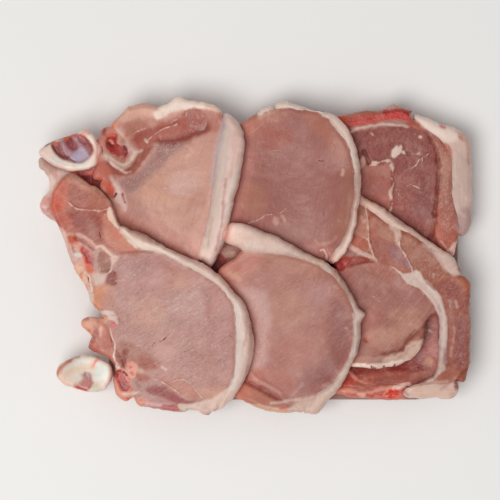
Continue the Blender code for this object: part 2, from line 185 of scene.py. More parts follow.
class Edge:
    """Sample points along outlines that answer for the nearest one to any place."""

    def __init__(self, samples: np.ndarray, values: np.ndarray) -> None:
        """Takes the samples and one value for each of them."""
        self.samples, self.values = samples, values
        self.tree = KDTree(max(1, len(samples)))
        for i, (x, y) in enumerate(samples):
            self.tree.insert((x, y, 0), i)
        self.tree.balance()

    def nearest(self, points: np.ndarray) -> tuple[np.ndarray, np.ndarray]:
        """Finds the nearest sample to each point.

        Args:
            points: Places in the plan, one row each.

        Returns:
            The distances and the indices of the samples; without samples, far distances.
        """
        if not len(self.samples):
            return np.full(len(points), 1.0), np.zeros(len(points), int)
        found = [self.tree.find((x, y, 0)) for x, y in points.tolist()]
        return np.array([f[2] for f in found]), np.array([f[1] for f in found])


# Heights over the plan.


@dataclass(frozen=True)
class PlanGrid:
    """The regular grid on which resting heights are kept."""

    step: float = 0.002
    half: tuple[float, float] = (0.162, 0.122)

    def axes(self) -> tuple[np.ndarray, np.ndarray]:
        """The grid's places along x and along y."""
        return tuple(np.arange(-h, h + self.step / 2, self.step) for h in self.half)

    def at(self, heights: np.ndarray, points: np.ndarray) -> np.ndarray:
        """Heights between the grid's places.

        Args:
            heights: One height for each grid place.
            points: Places in the plan, one row each.

        Returns:
            One height for each point.
        """
        shifts = ((i, j) for i in (-1, 0, 1) for j in (-1, 0, 1))
        return sum(
            self.between(heights, points + np.array((i, j)) * self.step / 2) * 0.25 / 2 ** (i * i + j * j)
            for i, j in shifts
        )

    def between(self, heights: np.ndarray, points: np.ndarray) -> np.ndarray:
        """Straight-line heights between the grid's four nearest places."""
        spot = (points + np.array(self.half)) / self.step
        limit = np.array(heights.shape) - 1.001
        spot = np.clip(spot, 0, limit)
        cell = np.floor(spot).astype(int)
        u, v = (spot - cell).T
        i, j = cell.T
        near = heights[i, j] * (1 - u) + heights[i + 1, j] * u
        far = heights[i, j + 1] * (1 - u) + heights[i + 1, j + 1] * u
        return near * (1 - v) + far * v

    def soften(self, heights: np.ndarray, weight: np.ndarray, reach: float) -> np.ndarray:
        """Fits a small plane at every grid place, so slopes run on past the known heights.

        Args:
            heights: Known heights, any value where the weight is zero.
            weight: How much each height counts.
            reach: How far a height is felt, in metres.

        Returns:
            The softened heights over the whole grid.
        """
        xs, ys = self.axes()
        blur = [np.exp(-0.5 * ((a[:, None] - a[None]) / reach) ** 2) for a in (xs, ys)]
        gx, gy = np.meshgrid(xs, ys, indexing="ij")

        def moment(values: np.ndarray) -> np.ndarray:
            """The weighted sum of values round every grid place."""
            return blur[0] @ (values * weight) @ blur[1]

        total = moment(np.ones_like(gx)) + 1e-9
        mx, my, mz = moment(gx) / total, moment(gy) / total, moment(heights) / total
        damp = (0.15 * reach) ** 2
        cxx = moment(gx * gx) / total - mx * mx + damp
        cyy = moment(gy * gy) / total - my * my + damp
        cxy = moment(gx * gy) / total - mx * my
        cxz = moment(gx * heights) / total - mx * mz
        cyz = moment(gy * heights) / total - my * mz
        det = cxx * cyy - cxy * cxy
        slope_x = (cyy * cxz - cxy * cyz) / det
        slope_y = (cxx * cyz - cxy * cxz) / det
        return mz + slope_x * (gx - mx) + slope_y * (gy - my)


GRID = PlanGrid()


# Paint.


class Kind(Enum):
    """What a patch of paint is."""

    STAIN = "a change of colour"
    # Glints are painted highlight: pale specks that stand for the wet surface catching the light.
    GLINTS = "scattered pale specks"
    VEIN = "a fine pale line of fat or membrane"
    SLIT = "a fine dark line or crack"


@dataclass(frozen=True)
class Patch:
    """A mark on the meat: a stain, a membrane or a slit.

    Its points are in millimetres. A closed patch fills its outline; an open one is a line of
    the given width.
    """

    points: tuple[Point, ...]
    colour: Colour = (230, 205, 195)
    width: float = 2.0
    soft: float = 1.5
    strength: float = 1.0
    ragged: float = 0.6
    relief: float = 0.0
    wet: float = 0.0
    marrow: float = 0.0
    closed: bool = False
    kind: Kind = Kind.STAIN

    def reach(self, points: np.ndarray, ripple: Ripple) -> np.ndarray:
        """Signed distance in millimetres from the patch's edge, with its raggedness.

        Args:
            points: Places in the plan, in metres.
            ripple: The noise that frays the edge.

        Returns:
            Negative values inside the patch.
        """
        line = np.array(self.points, float)
        if len(line) == 1:
            away = np.hypot(*(points / MM - line[0]).T)
        else:
            away = signed_distance(points / MM, smooth_corners(line, self.closed), self.closed)
        if not self.closed:
            away = away - self.width / 2
        fray = ripple.layers(points + 0.01 * line[0].sum() * MM, 3.2 * MM, 3)
        return away + self.ragged * 1.6 * fray

    def cover(self, points: np.ndarray, ripple: Ripple) -> np.ndarray:
        """How much of the patch lies on each point, from 0 to its strength."""
        away = self.reach(points, ripple)
        return self.strength * (1 - smoothstep(away, -self.soft / 2, self.soft / 2))


def area(colour: Colour, *points: Point, **more: object) -> Patch:
    """A stain that fills an outline."""
    return Patch(points, colour, closed=True, **more)


def line(colour: Colour, width: float, *points: Point, **more: object) -> Patch:
    """A stain along a line."""
    return Patch(points, colour, width, **more)


def glints(colour: Colour, *points: Point, **more: object) -> Patch:
    """Painted highlight: pale wet glints scattered over an outline."""
    return Patch(points, colour, closed=True, kind=Kind.GLINTS, **more)


def vein(width: float, *points: Point, **more: object) -> Patch:
    """A fine pale line of fat."""
    return Patch(points, width=width, kind=Kind.VEIN, **{"ragged": 0.3, **more})


def slit(width: float, *points: Point, **more: object) -> Patch:
    """A fine dark crack."""
    return Patch(points, width=width, kind=Kind.SLIT, **{"ragged": 0.3, **more})


@dataclass(frozen=True)
class Nub:
    """A place where an outline bulges out or is pulled in, in millimetres."""

    place: Point
    push: Point
    reach: float = 5.0

    def shift(self, points: np.ndarray) -> np.ndarray:
        """How far each point of the plan is pushed."""
        away = ((points / MM - np.array(self.place)) ** 2).sum(1) / self.reach**2
        return np.exp(-away)[:, None] * np.array(self.push) * MM


# Shaders.


class Signal:
    """A shader value that can be added, multiplied and so on like a number."""

    def __init__(self, graph: "Graph", socket: bpy.types.NodeSocket) -> None:
        """Wraps one output socket."""
        self.graph, self.socket = graph, socket

    def _math(self, operation: str, first: "Signal | float", second: "Signal | float") -> "Signal":
        """One Math node."""
        return self.graph.node("ShaderNodeMath", {"operation": operation}, {0: first, 1: second})

    def __add__(self, other: "Signal | float") -> "Signal":
        """Sum."""
        return self._math("ADD", self, other)

    __radd__ = __add__

    def __mul__(self, other: "Signal | float") -> "Signal":
        """Product."""
        return self._math("MULTIPLY", self, other)

    __rmul__ = __mul__

    def __sub__(self, other: "Signal | float") -> "Signal":
        """Difference."""
        return self._math("SUBTRACT", self, other)

    def __rsub__(self, other: "Signal | float") -> "Signal":
        """Difference from a number."""
        return self._math("SUBTRACT", other, self)

    def between(self, low: float, high: float) -> "Signal":
        """Rises smoothly from 0 at low to 1 at high, or falls where low is above high."""
        flip = low > high
        settings = {"interpolation_type": "SMOOTHSTEP"}
        ends = {"From Min": min(low, high), "From Max": max(low, high)}
        span = {"To Min": float(flip), "To Max": float(not flip)}
        return self.graph.node("ShaderNodeMapRange", settings, {"Value": self, **ends, **span})


class Graph:
    """The node tree of one material."""

    def __init__(self, name: str) -> None:
        """Makes an empty material with its output."""
        self.material = bpy.data.materials.new(name)
        self.material.use_nodes = True
        self.tree = self.material.node_tree
        self.tree.nodes.clear()
        self.output = self.tree.nodes.new("ShaderNodeOutputMaterial")

    def node(
        self,
        kind: str,
        settings: dict[str, object] | None = None,
        inputs: dict[str | int, object] | None = None,
        output: str | int = 0,
    ) -> Signal:
        """Adds one node.

        Args:
            kind: The node's type.
            settings: Its properties, which are set first.
            inputs: Values or links of its sockets, by name or number.
            output: The output socket that is wanted.

        Returns:
            That output as a signal.
        """
        made = self.tree.nodes.new(kind)
        for key, value in (settings or {}).items():
            setattr(made, key, value)
        for key, value in (inputs or {}).items():
            if isinstance(value, Signal):
                self.tree.links.new(value.socket, made.inputs[key])
            else:
                made.inputs[key].default_value = value
        return Signal(self, made.outputs[output])

    def attribute(self, name: str, output: str = "Fac") -> Signal:
        """A value painted on the mesh."""
        return self.node("ShaderNodeAttribute", {"attribute_name": name}, {}, output)

    def place(self) -> Signal:
        """The place on the object, in metres."""
        return self.node("ShaderNodeTexCoord", {}, {}, "Object")

    def noise(self, place: Signal, size: float, detail: float = 3.0, rough: float = 0.55, bend: float = 0.0) -> Signal:
        """Cloudy noise from 0 to 1 with features of about this size in metres."""
        inputs = {"Vector": place, "Scale": 1 / size, "Detail": detail, "Roughness": rough, "Distortion": bend}
        return self.node("ShaderNodeTexNoise", {"noise_dimensions": "3D"}, inputs)

    def spots(self, place: Signal, size: float) -> Signal:
        """The distance to scattered centres, in cell widths."""
        return self.node("ShaderNodeTexVoronoi", {}, {"Vector": place, "Scale": 1 / size}, "Distance")

    def stretched(self, place: Signal, degrees: float, ratio: float) -> Signal:
        """The place turned in plan and squeezed along one way, for long fibres."""
        turn = {"Vector": place, "Rotation": (0.0, 0.0, math.radians(-degrees)), "Scale": (1.0 / ratio, 1.0, 1.0)}
        turned = self.node("ShaderNodeVectorRotate", {"rotation_type": "Z_AXIS"}, {"Vector": place, "Angle": math.radians(-degrees)})
        return self.node("ShaderNodeMapping", {"vector_type": "POINT"}, {"Vector": turned, "Scale": turn["Scale"]})

    def mix(self, factor: Signal | float, first: object, second: object, blend: str = "MIX") -> Signal:
        """A blend of two colours, given as signals or linear colours."""
        settings = {"data_type": "RGBA", "blend_type": blend}
        first, second = (c if isinstance(c, Signal) else (*map(float, c), 1.0) for c in (first, second))
        return self.node("ShaderNodeMix", settings, {0: factor, 6: first, 7: second}, 2)

    def bump(self, height: Signal, distance: float, strength: float = 1.0) -> Signal:
        """A normal from a height signal of 0 to 1 that stands for this distance."""
        return self.node("ShaderNodeBump", {}, {"Strength": strength, "Distance": distance, "Height": height}, "Normal")

    def surface(self, values: dict[str, object]) -> bpy.types.Material:
        """Closes the material with a Principled shader."""
        shader = self.node("ShaderNodeBsdfPrincipled", {}, values)
        self.tree.links.new(shader.socket, self.output.inputs["Surface"])
        return self.material


@dataclass(frozen=True)
class LeanFinish:
    """Moist lean meat: painted tint, cloudy blotches, fibres, pits, fine fat lines and pale glints of painted
    highlight.
    """

    grain: float = 30.0
    fibre: float = 0.16
    blotch: float = 0.16
    pits: float = 0.5
    vein_colour: Colour = (232, 200, 188)
    slit_colour: Colour = (104, 30, 26)
    glint_colour: Colour = (222, 188, 180)
    # The colour of the painted glint highlights.
    roughness: float = 0.42
    subsurface: float = 0.12

    def material(self, name: str) -> bpy.types.Material:
        """Builds the shader."""
        g = Graph(name)
        place = g.place()
        tint = g.attribute("tint", "Color")
        cloud = g.noise(place, 13 * MM, 4.0, 0.55, 0.4)
        mottle = g.noise(place, 3.0 * MM, 3.0, 0.6, 0.3)
        threads = g.noise(g.stretched(place, self.grain, 9.0), 1.5 * MM, 3.0, 0.6, 0.5)
        fleck = g.noise(place, 1.5 * MM, 2.0, 0.5)
        dark = linear((136, 62, 52))
        pale = linear((228, 182, 166))
        colour = g.mix(cloud.between(0.45, 0.75) * self.blotch * 1.2, tint, dark)
        colour = g.mix(cloud.between(0.50, 0.25) * self.blotch * 0.9, colour, pale)
        colour = g.mix(threads.between(0.5, 0.72) * self.fibre * 0.8, colour, pale)
        colour = g.mix(threads.between(0.48, 0.28) * self.fibre * 0.8, colour, dark)
        colour = g.mix(mottle.between(0.56, 0.8) * (self.blotch * 0.8), colour, pale)
        pit = fleck.between(0.34, 0.25) * cloud.between(0.4, 0.6) * self.pits
        colour = g.mix(pit * 0.5, colour, linear((124, 48, 42)))
        fray = (g.noise(place, 1.2 * MM, 3.0, 0.6) - 0.5) * 1.5
        vein = (g.attribute("vein") + fray).between(1.25, 0.45)
        slit = (g.attribute("slit") + fray * 0.5).between(1.2, 0.5)
        # Painted highlight: pale glints and a fine net of them are mixed into the colour where the glint mask lies; the
        # same mask adds coat and bump.
        ridge = g.noise(g.stretched(place, self.grain, 2.2), 3.2 * MM, 4.0, 0.65, 0.8) - 0.5
        web = (ridge * ridge).between(0.0014, 0.0) * 0.6
        glint_mask = (g.noise(place, 1.7 * MM, 3.0, 0.7).between(0.56, 0.68) + web) * g.attribute("glint_highlight")
        colour = g.mix(glint_mask * 0.7, colour, linear(self.glint_colour))
        broken = mottle.between(0.35, 0.6) * 0.45 + 0.3
        colour = g.mix(vein * broken, colour, linear(self.vein_colour))
        colour = g.mix(slit * 0.9, colour, linear(self.slit_colour))
        height = threads * 0.4 + mottle * 0.4 + fleck * 0.15 - pit * 0.4 - slit * 0.8 + vein * 0.2 + glint_mask * 0.35
        wet = g.attribute("wet")
        rough = self.roughness + (cloud - 0.5) * 0.22 + (mottle - 0.5) * 0.25 - wet * 0.2
        return g.surface(
            {
                "Base Color": colour,
                "Roughness": rough,
                "Specular IOR Level": 0.42,
                "Subsurface Weight": self.subsurface,
                "Subsurface Radius": (1.0, 0.35, 0.22),
                "Subsurface Scale": 2.2 * MM,
                "Coat Weight": 0.08 + wet * 0.5 + glint_mask * 0.3,
                "Coat Roughness": 0.22,
                "Normal": g.bump(height, 0.55 * MM),
            }
        )


@dataclass(frozen=True)
class FatFinish:
    """Waxy raw fat: painted tint, long soft streaks and small lumps."""

    grain: float = 90.0
    streak: float = 0.22
    lump: float = 0.18
    roughness: float = 0.46
    subsurface: float = 0.22

    def material(self, name: str) -> bpy.types.Material:
        """Builds the shader."""
        g = Graph(name)
        place = g.place()
        tint = g.attribute("tint", "Color")
        cloud = g.noise(place, 8 * MM, 3.0, 0.55, 0.3)
        lumps = g.noise(place, 2.2 * MM, 3.0, 0.6, 0.2)
        streaks = g.noise(g.stretched(place, self.grain, 7.0), 2.0 * MM, 3.0, 0.55, 0.3)
        flush = linear((206, 150, 132))
        wax = linear((246, 232, 222))
        colour = g.mix(cloud.between(0.5, 0.78) * self.lump * 1.5, tint, flush)
        colour = g.mix(streaks.between(0.5, 0.75) * self.streak, colour, wax)
        colour = g.mix(streaks.between(0.46, 0.26) * self.streak * 0.8, colour, flush)
        colour = g.mix(lumps.between(0.58, 0.8) * self.lump, colour, wax)
        fray = (g.noise(place, 1.2 * MM, 3.0, 0.6) - 0.5) * 1.5
        slit = (g.attribute("slit") + fray * 0.5).between(1.2, 0.5)
        colour = g.mix(slit * 0.8, colour, linear((176, 112, 96)))
        vein = (g.attribute("vein") + fray).between(1.25, 0.45)
        colour = g.mix(vein * 0.8, colour, wax)
        height = streaks * 0.4 + lumps * 0.5 + cloud * 0.4 - slit * 0.8
        rough = self.roughness + (lumps - 0.5) * 0.2 - g.attribute("wet") * 0.2
        return g.surface(
            {
                "Base Color": colour,
                "Roughness": rough,
                "Specular IOR Level": 0.45,
                "Subsurface Weight": self.subsurface,
                "Subsurface Radius": (1.0, 0.6, 0.45),
                "Subsurface Scale": 2.5 * MM,
                "Coat Weight": 0.05 + g.attribute("wet") * 0.4,
                "Coat Roughness": 0.25,
                "Normal": g.bump(height, 0.5 * MM),
            }
        )


@dataclass(frozen=True)
class BoneFinish:
    """Sawn bone and cartilage: painted tint, spongy pores in the red and faint pale grain."""

    roughness: float = 0.4
    spongy: float = 0.5

    def material(self, name: str) -> bpy.types.Material:
        """Builds the shader."""
        g = Graph(name)
        place = g.place()
        tint = g.attribute("tint", "Color")
        cloud = g.noise(place, 6 * MM, 3.0, 0.55, 0.3)
        pores = g.spots(place, 1.5 * MM)
        grain = g.noise(place, 1.3 * MM, 3.0, 0.6)
        marrow = g.attribute("marrow")
        colour = g.mix(cloud.between(0.45, 0.75) * 0.22, tint, linear((200, 150, 138)))
        colour = g.mix(pores.between(0.42, 0.2) * marrow * self.spongy, colour, linear((122, 22, 22)))
        colour = g.mix(grain.between(0.58, 0.75) * marrow * self.spongy, colour, linear((232, 160, 142)))
        colour = g.mix(grain.between(0.55, 0.8) * (1 - marrow) * 0.3, colour, linear((250, 244, 234)))
        fray = (g.noise(place, 1.2 * MM, 3.0, 0.6) - 0.5) * 1.5
        slit = (g.attribute("slit") + fray * 0.5).between(1.2, 0.5)
        colour = g.mix(slit * 0.85, colour, linear((120, 42, 36)))
        vein = (g.attribute("vein") + fray).between(1.25, 0.45)
        colour = g.mix(vein * 0.8, colour, linear((238, 222, 212)))
        height = grain * 0.5 + cloud * 0.4 + pores * marrow * 0.5 - slit * 0.8
        rough = self.roughness + (cloud - 0.5) * 0.2 - g.attribute("wet") * 0.2
        return g.surface(
            {
                "Base Color": colour,
                "Roughness": rough,
                "Specular IOR Level": 0.45,
                "Subsurface Weight": 0.1,
                "Subsurface Radius": (1.0, 0.5, 0.4),
                "Subsurface Scale": 2.0 * MM,
                "Coat Weight": 0.08 + g.attribute("wet") * 0.5,
                "Coat Roughness": 0.2,
                "Normal": g.bump(height, 0.45 * MM),
            }
        )


@dataclass(frozen=True)
class FoamFinish:
    """Fine-grained foam of a tray, with its pressed beads; its brownish grey is that of the tray's strip in shade, so
    the whole tray carries painted shade.
    """

    # Painted shade: the brownish grey of the tray in shade, given to all of it.
    colour: Colour = (170, 132, 124)
    bead: float = 1.4 * MM

    def material(self, name: str) -> bpy.types.Material:
        """Builds the shader."""
        g = Graph(name)
        place = g.place()
        beads = g.spots(place, self.bead)
        cloud = g.noise(place, 14 * MM, 3.0)
        colour = g.mix(cloud.between(0.35, 0.75), linear(self.colour), linear([c - 9 for c in self.colour]))
        colour = g.mix(beads.between(0.35, 0.75) * 0.25, colour, linear([c - 26 for c in self.colour]))
        height = 1 - beads
        return g.surface(
            {
                "Base Color": colour,
                "Roughness": 0.62 + (cloud - 0.5) * 0.15,
                "Specular IOR Level": 0.35,
                "Normal": g.bump(height, 0.25 * MM),
            }
        )


@dataclass(frozen=True)
class FloorFinish:
    """A plain pale studio floor."""

    colour: Colour = (252, 252, 252)

    def material(self, name: str) -> bpy.types.Material:
        """Builds the shader."""
        g = Graph(name)
        cloud = g.noise(g.place(), 0.4, 2.0)
        colour = g.mix(cloud * 0.05, linear(self.colour), linear([c - 6 for c in self.colour]))
        return g.surface({"Base Color": colour, "Roughness": 0.9, "Specular IOR Level": 0.2})


Finish = LeanFinish | FatFinish | BoneFinish


# Slabs of meat.


class Tissue(Enum):
    """What a piece is made of, and so the name of its value on the slab."""

    LEAN = "lean"
    FAT = "fat"
    BONE = "bone"


@dataclass(frozen=True)
class Part:
    """One piece of a chop: the solid it stands for, its finish and how its edge is rounded."""

    node: str
    tissue: Tissue
    tint: Colour
    finish: Finish
    slot: str
    edge_round: float = 3.0
    bulge: float = 0.0
    seam_tint: Colour | None = None
    rim_tint: Colour | None = None
    rim_width: float = 1.6
    marrow: float = 0.0


@dataclass
class Trace:
    """The outline of one piece in plan and how much of it lies on a seam."""

    part: Part
    loop: np.ndarray
    on_seam: np.ndarray = field(default_factory=lambda: np.zeros(0))


@dataclass
class Slab:
    """A chop or bone that drapes over what lies below it, made of one or more pieces."""

    title: str = "slab"
    parts: tuple[Part, ...] = ()
    patches: tuple[Patch, ...] = ()
    nubs: tuple[Nub, ...] = ()
    seed: int = 1
    step: float = 0.85 * MM
    under_step: float = 4.5 * MM
    ragged: float = 0.55 * MM
    waves: float = 0.55 * MM
    seam_depth: float = 0.5 * MM
    seam_reach: float = 1.4 * MM
    under_round: float = 2.2 * MM
    wall_rows: int = 4
    side_blur: int = 8
    join: float = 1.4 * MM
    sink: float = 5.0 * MM
    sheen: float = 0.022
    # Painted shade along the edges of the chops above, and a painted lift of light a little beyond it.
    contact_shade_reach: float = 1.9
    contact_shade_depth: float = 0.72
    painted_lift: float = 0.42
    painted_lift_reach: float = 9.0

    def trace(self, nodes: dict[str, bpy.types.Object]) -> None:
        """Takes outlines, seams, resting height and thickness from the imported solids."""
        self.ripple = Ripple(self.seed)
        self.traces = [Trace(p, self.outline(nodes[p.node])) for p in self.parts]
        self.join_seams()
        self.settle([nodes[p.node] for p in self.parts])
        samples = self.bare.samples[::2]
        self.frayed = Edge(self.lay(samples), samples)

    def build(self, above: Sequence["Slab"]) -> list[bpy.types.Object]:
        """Builds every piece of the slab.

        Args:
            above: The slabs that were laid later.

        Returns:
            The new pieces, each riding on the root body.
        """
        self.above = above
        made = []
        for trace in self.traces:
            piece = self.model(trace)
            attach(piece, "root")
            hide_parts(trace.part.node)
            faces = len(piece.data.polygons)
            log.info("%s: %d faces", piece.name, faces)
            made.append(piece)
        return made

    def outline(self, thing: bpy.types.Object) -> np.ndarray:
        """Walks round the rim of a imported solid's top.

        Args:
            thing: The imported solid.

        Returns:
            Its outline in plan, anticlockwise, evenly sampled and slightly rounded.
        """
        spots: dict[tuple[float, ...], int] = {}
        same = [spots.setdefault(tuple(round(c, 6) for c in v.co), len(spots)) for v in thing.data.vertices]
        places = np.array(list(spots))[:, :2]
        upper = [[same[i] for i in f.vertices] for f in thing.data.polygons if f.normal.z > 0.02]
        rim = max(self.rims(np.array(upper)), key=len)
        return relax_loop(resample_loop(places[rim], self.step), 10)

    def join_seams(self) -> None:
        """Closes the gap between the pieces, and sorts samples into bare edge and seam."""
        loops = [t.loop for t in self.traces]
        for i, trace in enumerate(self.traces):
            others = [resample_loop(l, 0.3 * MM) for k, l in enumerate(loops) if k != i]
            if not others:
                trace.on_seam = np.zeros(len(trace.loop))
                continue
            samples = np.vstack(others)
            away, index = Edge(samples, samples).nearest(trace.loop)
            pull = 1 - smoothstep(away, self.join, 2.4 * self.join)
            trace.loop = trace.loop + 0.5 * pull[:, None] * (samples[index] - trace.loop)
            trace.on_seam = pull
        bare, radii, seam = [], [], []
        for trace in self.traces:
            fine = resample_loop(trace.loop, 0.25 * MM)
            _, index = Edge(trace.loop, trace.loop).nearest(fine)
            free = trace.on_seam[index] < 0.5
            bare.append(fine[free])
            radii.append(np.full(free.sum(), trace.part.edge_round * MM))
            seam.append(fine[~free])
        self.bare = Edge(np.vstack(bare), np.concatenate(radii))
        self.seam = Edge(np.vstack(seam), np.zeros(0))

    def settle(self, things: list[bpy.types.Object]) -> None:
        """Reads the height on which the slab rests, and its thickness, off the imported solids."""
        corners, faces = [], []
        for thing in things:
            start = len(corners)
            corners += [v.co.copy() for v in thing.data.vertices]
            faces += [[start + i for i in p.vertices] for p in thing.data.polygons]
        tree = BVHTree.FromPolygons(corners, faces)
        xs, ys = GRID.axes()
        under = np.zeros((len(xs), len(ys)))
        weight = np.zeros_like(under)
        lows, highs = np.min(corners, 0), np.max(corners, 0)
        depths = []
        spots = [(i, j) for i, x in enumerate(xs) for j, y in enumerate(ys) if lows[0] < x < highs[0] and lows[1] < y < highs[1]]
        away, _ = self.bare.nearest(np.array([(xs[i], ys[j]) for i, j in spots]))
        for (i, j), edge in zip(spots, away):
            if edge < 1.5 * MM:
                continue
            up = tree.ray_cast((xs[i], ys[j], -1.0), (0, 0, 1))
            if up[0] is None:
                continue
            down = tree.ray_cast((xs[i], ys[j], 1.0), (0, 0, -1))
            under[i, j] = up[0].z
            weight[i, j] = float(smoothstep(np.array(edge), 1.5 * MM, 4.5 * MM)) + 1e-3
            if edge > 5 * MM:
                depths.append(down[0].z - up[0].z)
        self.rest = GRID.soften(under, weight, self.sink)
        self.thickness = float(np.median(depths)) if depths else 9 * MM
        log.info("%s: %.1f mm thick", self.title, self.thickness / MM)

    def lay(self, points: np.ndarray) -> np.ndarray:
        """Where plan points really lie, once the outline is frayed and its nubs are pushed."""
        shift = self.ripple.push(points, 9 * MM) * self.ragged * 1.3
        shift += self.ripple.push(points + 0.3, 3.1 * MM) * self.ragged * 0.7
        for nub in self.nubs:
            shift = shift + nub.shift(points)
        return points + shift

    def crest(self, points: np.ndarray, part: Part) -> np.ndarray:
        """The height of the top over the resting height, before any patch.

        Args:
            points: Places in the plan.
            part: The piece that is shaped.

        Returns:
            One height for each point.
        """
        edge, index = self.bare.nearest(points)
        radius = self.bare.values[index]
        press = np.clip(1 - edge / radius, 0, 1)
        depth = np.minimum(radius, 0.62 * self.thickness)
        drop = depth * (1 - np.sqrt(np.clip(1 - press**2, 0, 1)))
        seam, _ = self.seam.nearest(points)
        groove = self.seam_depth * np.exp(-((seam / self.seam_reach) ** 2))
        inner = 1 - press
        swell = part.bulge * MM * np.clip(np.minimum(seam, edge) / (4 * MM), 0, 1)
        wave = self.ripple.layers(points, 22 * MM, 3) * self.waves
        grit = self.ripple.layers(points + 0.5, 4.5 * MM, 2) * 0.16 * MM
        return self.thickness - drop - groove + swell + (wave + grit) * (0.35 + 0.65 * inner)

    def top_sheet(self, trace: Trace) -> tuple[np.ndarray, np.ndarray]:
        """Fills the outline with small triangles, closer together over round edges.

        Args:
            trace: The outline to fill.

        Returns:
            The points in plan and the triangles as rows of indices.
        """
        loop, step = trace.loop, self.step
        low, high = loop.min(0) - step, loop.max(0) + step
        rows = np.arange(low[1], high[1], step * math.sqrt(0.75))
        cols = np.arange(low[0], high[0], step)
        gx, gy = np.meshgrid(cols, rows)
        gx = gx + 0.5 * step * (np.arange(len(rows)) % 2)[:, None]
        dots = np.stack([gx.ravel(), gy.ravel()], 1)
        dots = dots + self.ripple.push(dots * 37.0, step) * 0.12 * step
        fine = resample_loop(loop, 0.3 * MM)
        away, _ = Edge(fine, fine).nearest(dots)
        dots = dots[away > 0.5 * step]
        edge, index = self.bare.nearest(dots)
        radius = np.minimum(self.bare.values[index], 4 * MM)
        wanted = radius * (1 - np.cos(0.5 * math.pi * np.clip(edge / radius, 0, 1)))
        pull = np.where(edge < radius, wanted - edge, 0) / np.maximum(edge, 1e-9)
        dots = dots + (dots - self.bare.samples[index]) * pull[:, None]
        return self.triangulate(loop, dots)

    @staticmethod
    def triangulate(loop: np.ndarray, dots: np.ndarray) -> tuple[np.ndarray, np.ndarray]:
        """Triangles inside a loop, through the loop's own points and loose dots."""
        count = len(loop)
        corners = [Vector(p) for p in np.vstack([loop, dots]).tolist()]
        edges = [(i, (i + 1) % count) for i in range(count)]
        points, _, faces, *_ = delaunay_2d_cdt(corners, edges, [], 1, 1e-7)
        faces = np.array(faces)
        used = np.unique(faces)
        renumber = np.full(len(points), -1)
        renumber[used] = np.arange(len(used))
        return np.array([points[i][:] for i in used]), renumber[faces]

    @staticmethod
    def rims(faces: np.ndarray) -> list[list[int]]:
        """The closed rims of a sheet of triangles, each walked the way its faces turn."""
        runs = np.vstack([faces[:, [0, 1]], faces[:, [1, 2]], faces[:, [2, 0]]])
        present = set(map(tuple, runs.tolist()))
        following = {a: b for a, b in present if (b, a) not in present}
        loops = []
        while following:
            start, here = following.popitem()
            loop = [start]
            while here != start and here in following:
                loop.append(here)
                here = following.pop(here)
            if len(loop) > 2:
                loops.append(loop)
        return loops

    def model(self, trace: Trace) -> bpy.types.Object:
        """Makes the closed mesh of one piece and paints it.

        Args:
            trace: The piece's outline.

        Returns:
            The new object.
        """
        part = trace.part
        plan, faces = self.top_sheet(trace)
        laid = self.lay(plan)
        ground = GRID.at(self.rest, laid)
        top = ground + self.crest(plan, part)
        paint = self.painted(laid, plan, part)
        top = top + paint["relief"] * MM
        loop = max(self.rims(faces), key=len)
        rim, rim_plan = laid[loop], plan[loop]
        edge, index = self.bare.nearest(rim_plan)
        lift = self.under_round * np.clip(1 - edge / (2 * MM), 0, 1)
        base = ground[loop] + lift
        base = np.minimum(base, top[loop] - 1 * MM)
        outward = np.roll(rim, -1, 0) - np.roll(rim, 1, 0)
        outward = np.stack([outward[:, 1], -outward[:, 0]], 1)
        outward /= np.maximum(np.linalg.norm(outward, axis=1, keepdims=True), 1e-9)
        bare = np.clip(1 - edge / (1.5 * MM), 0, 1)
        verts = [np.column_stack([laid, top])]
        walls, count, above, start = [], len(loop), np.array(loop), len(plan)
        sources, fades = [np.arange(len(plan))], [np.zeros(len(plan))]
        for k in range(1, self.wall_rows + 1):
            t = k / self.wall_rows
            swing = math.sin(math.pi * t) * 0.5 * MM
            rough = self.ripple.at(rim + 0.2 * k, 4 * MM) * 0.35 * MM * math.sin(math.pi * t)
            shift = outward * ((swing + rough) * bare)[:, None]
            verts.append(np.column_stack([rim + shift, top[loop] * (1 - t) + base * t]))
            below = start + np.arange(count)
            nxt = np.roll(np.arange(count), -1)
            walls.append(np.stack([above[nxt], above, below, below[nxt]], 1))
            sources.append(np.array(loop))
            fades.append(np.full(count, float(smoothstep(np.array(t), 0.0, 0.7))))
            above, start = below, start + count
        under_plan, under_faces = self.triangulate(rim, self.under_dots(rim))
        inner = under_plan[len(rim):] if len(under_plan) >= len(rim) else under_plan[:0]
        matched = len(under_plan) >= len(rim) and np.allclose(under_plan[: len(rim)], rim, atol=1e-6)
        if matched:
            lookup = np.concatenate([above, start + np.arange(len(inner))])
            verts.append(np.column_stack([inner, GRID.at(self.rest, inner)]))
            sources.append(np.full(len(inner), loop[0]))
            fades.append(np.ones(len(inner)))
            bottom = lookup[under_faces][:, ::-1]
        else:
            rest = np.setdiff1d(np.arange(len(plan)), loop)
            lookup = np.zeros(len(plan), int)
            lookup[loop] = above
            lookup[rest] = start + np.arange(len(rest))
            verts.append(np.column_stack([laid[rest], ground[rest]]))
            sources.append(rest)
            fades.append(np.ones(len(rest)))
            bottom = lookup[faces][:, ::-1]
        mesh = bpy.data.meshes.new(f"{self.title}_{part.node.split('_')[-1]}")
        everything = [*faces.tolist(), *[f for w in walls for f in w.tolist()], *bottom.tolist()]
        mesh.from_pydata(np.vstack(verts).tolist(), [], everything)
        self.attach(mesh, paint, self.worn(paint, part, loop), np.concatenate(sources), np.concatenate(fades))
        mesh.shade_smooth()
        mesh.set_sharp_from_angle(angle=math.radians(62))
        mesh.materials.append(part.finish.material(f"{part.node}_finish"))
        thing = bpy.data.objects.new(mesh.name, mesh)
        bpy.context.scene.collection.objects.link(thing)
        return thing

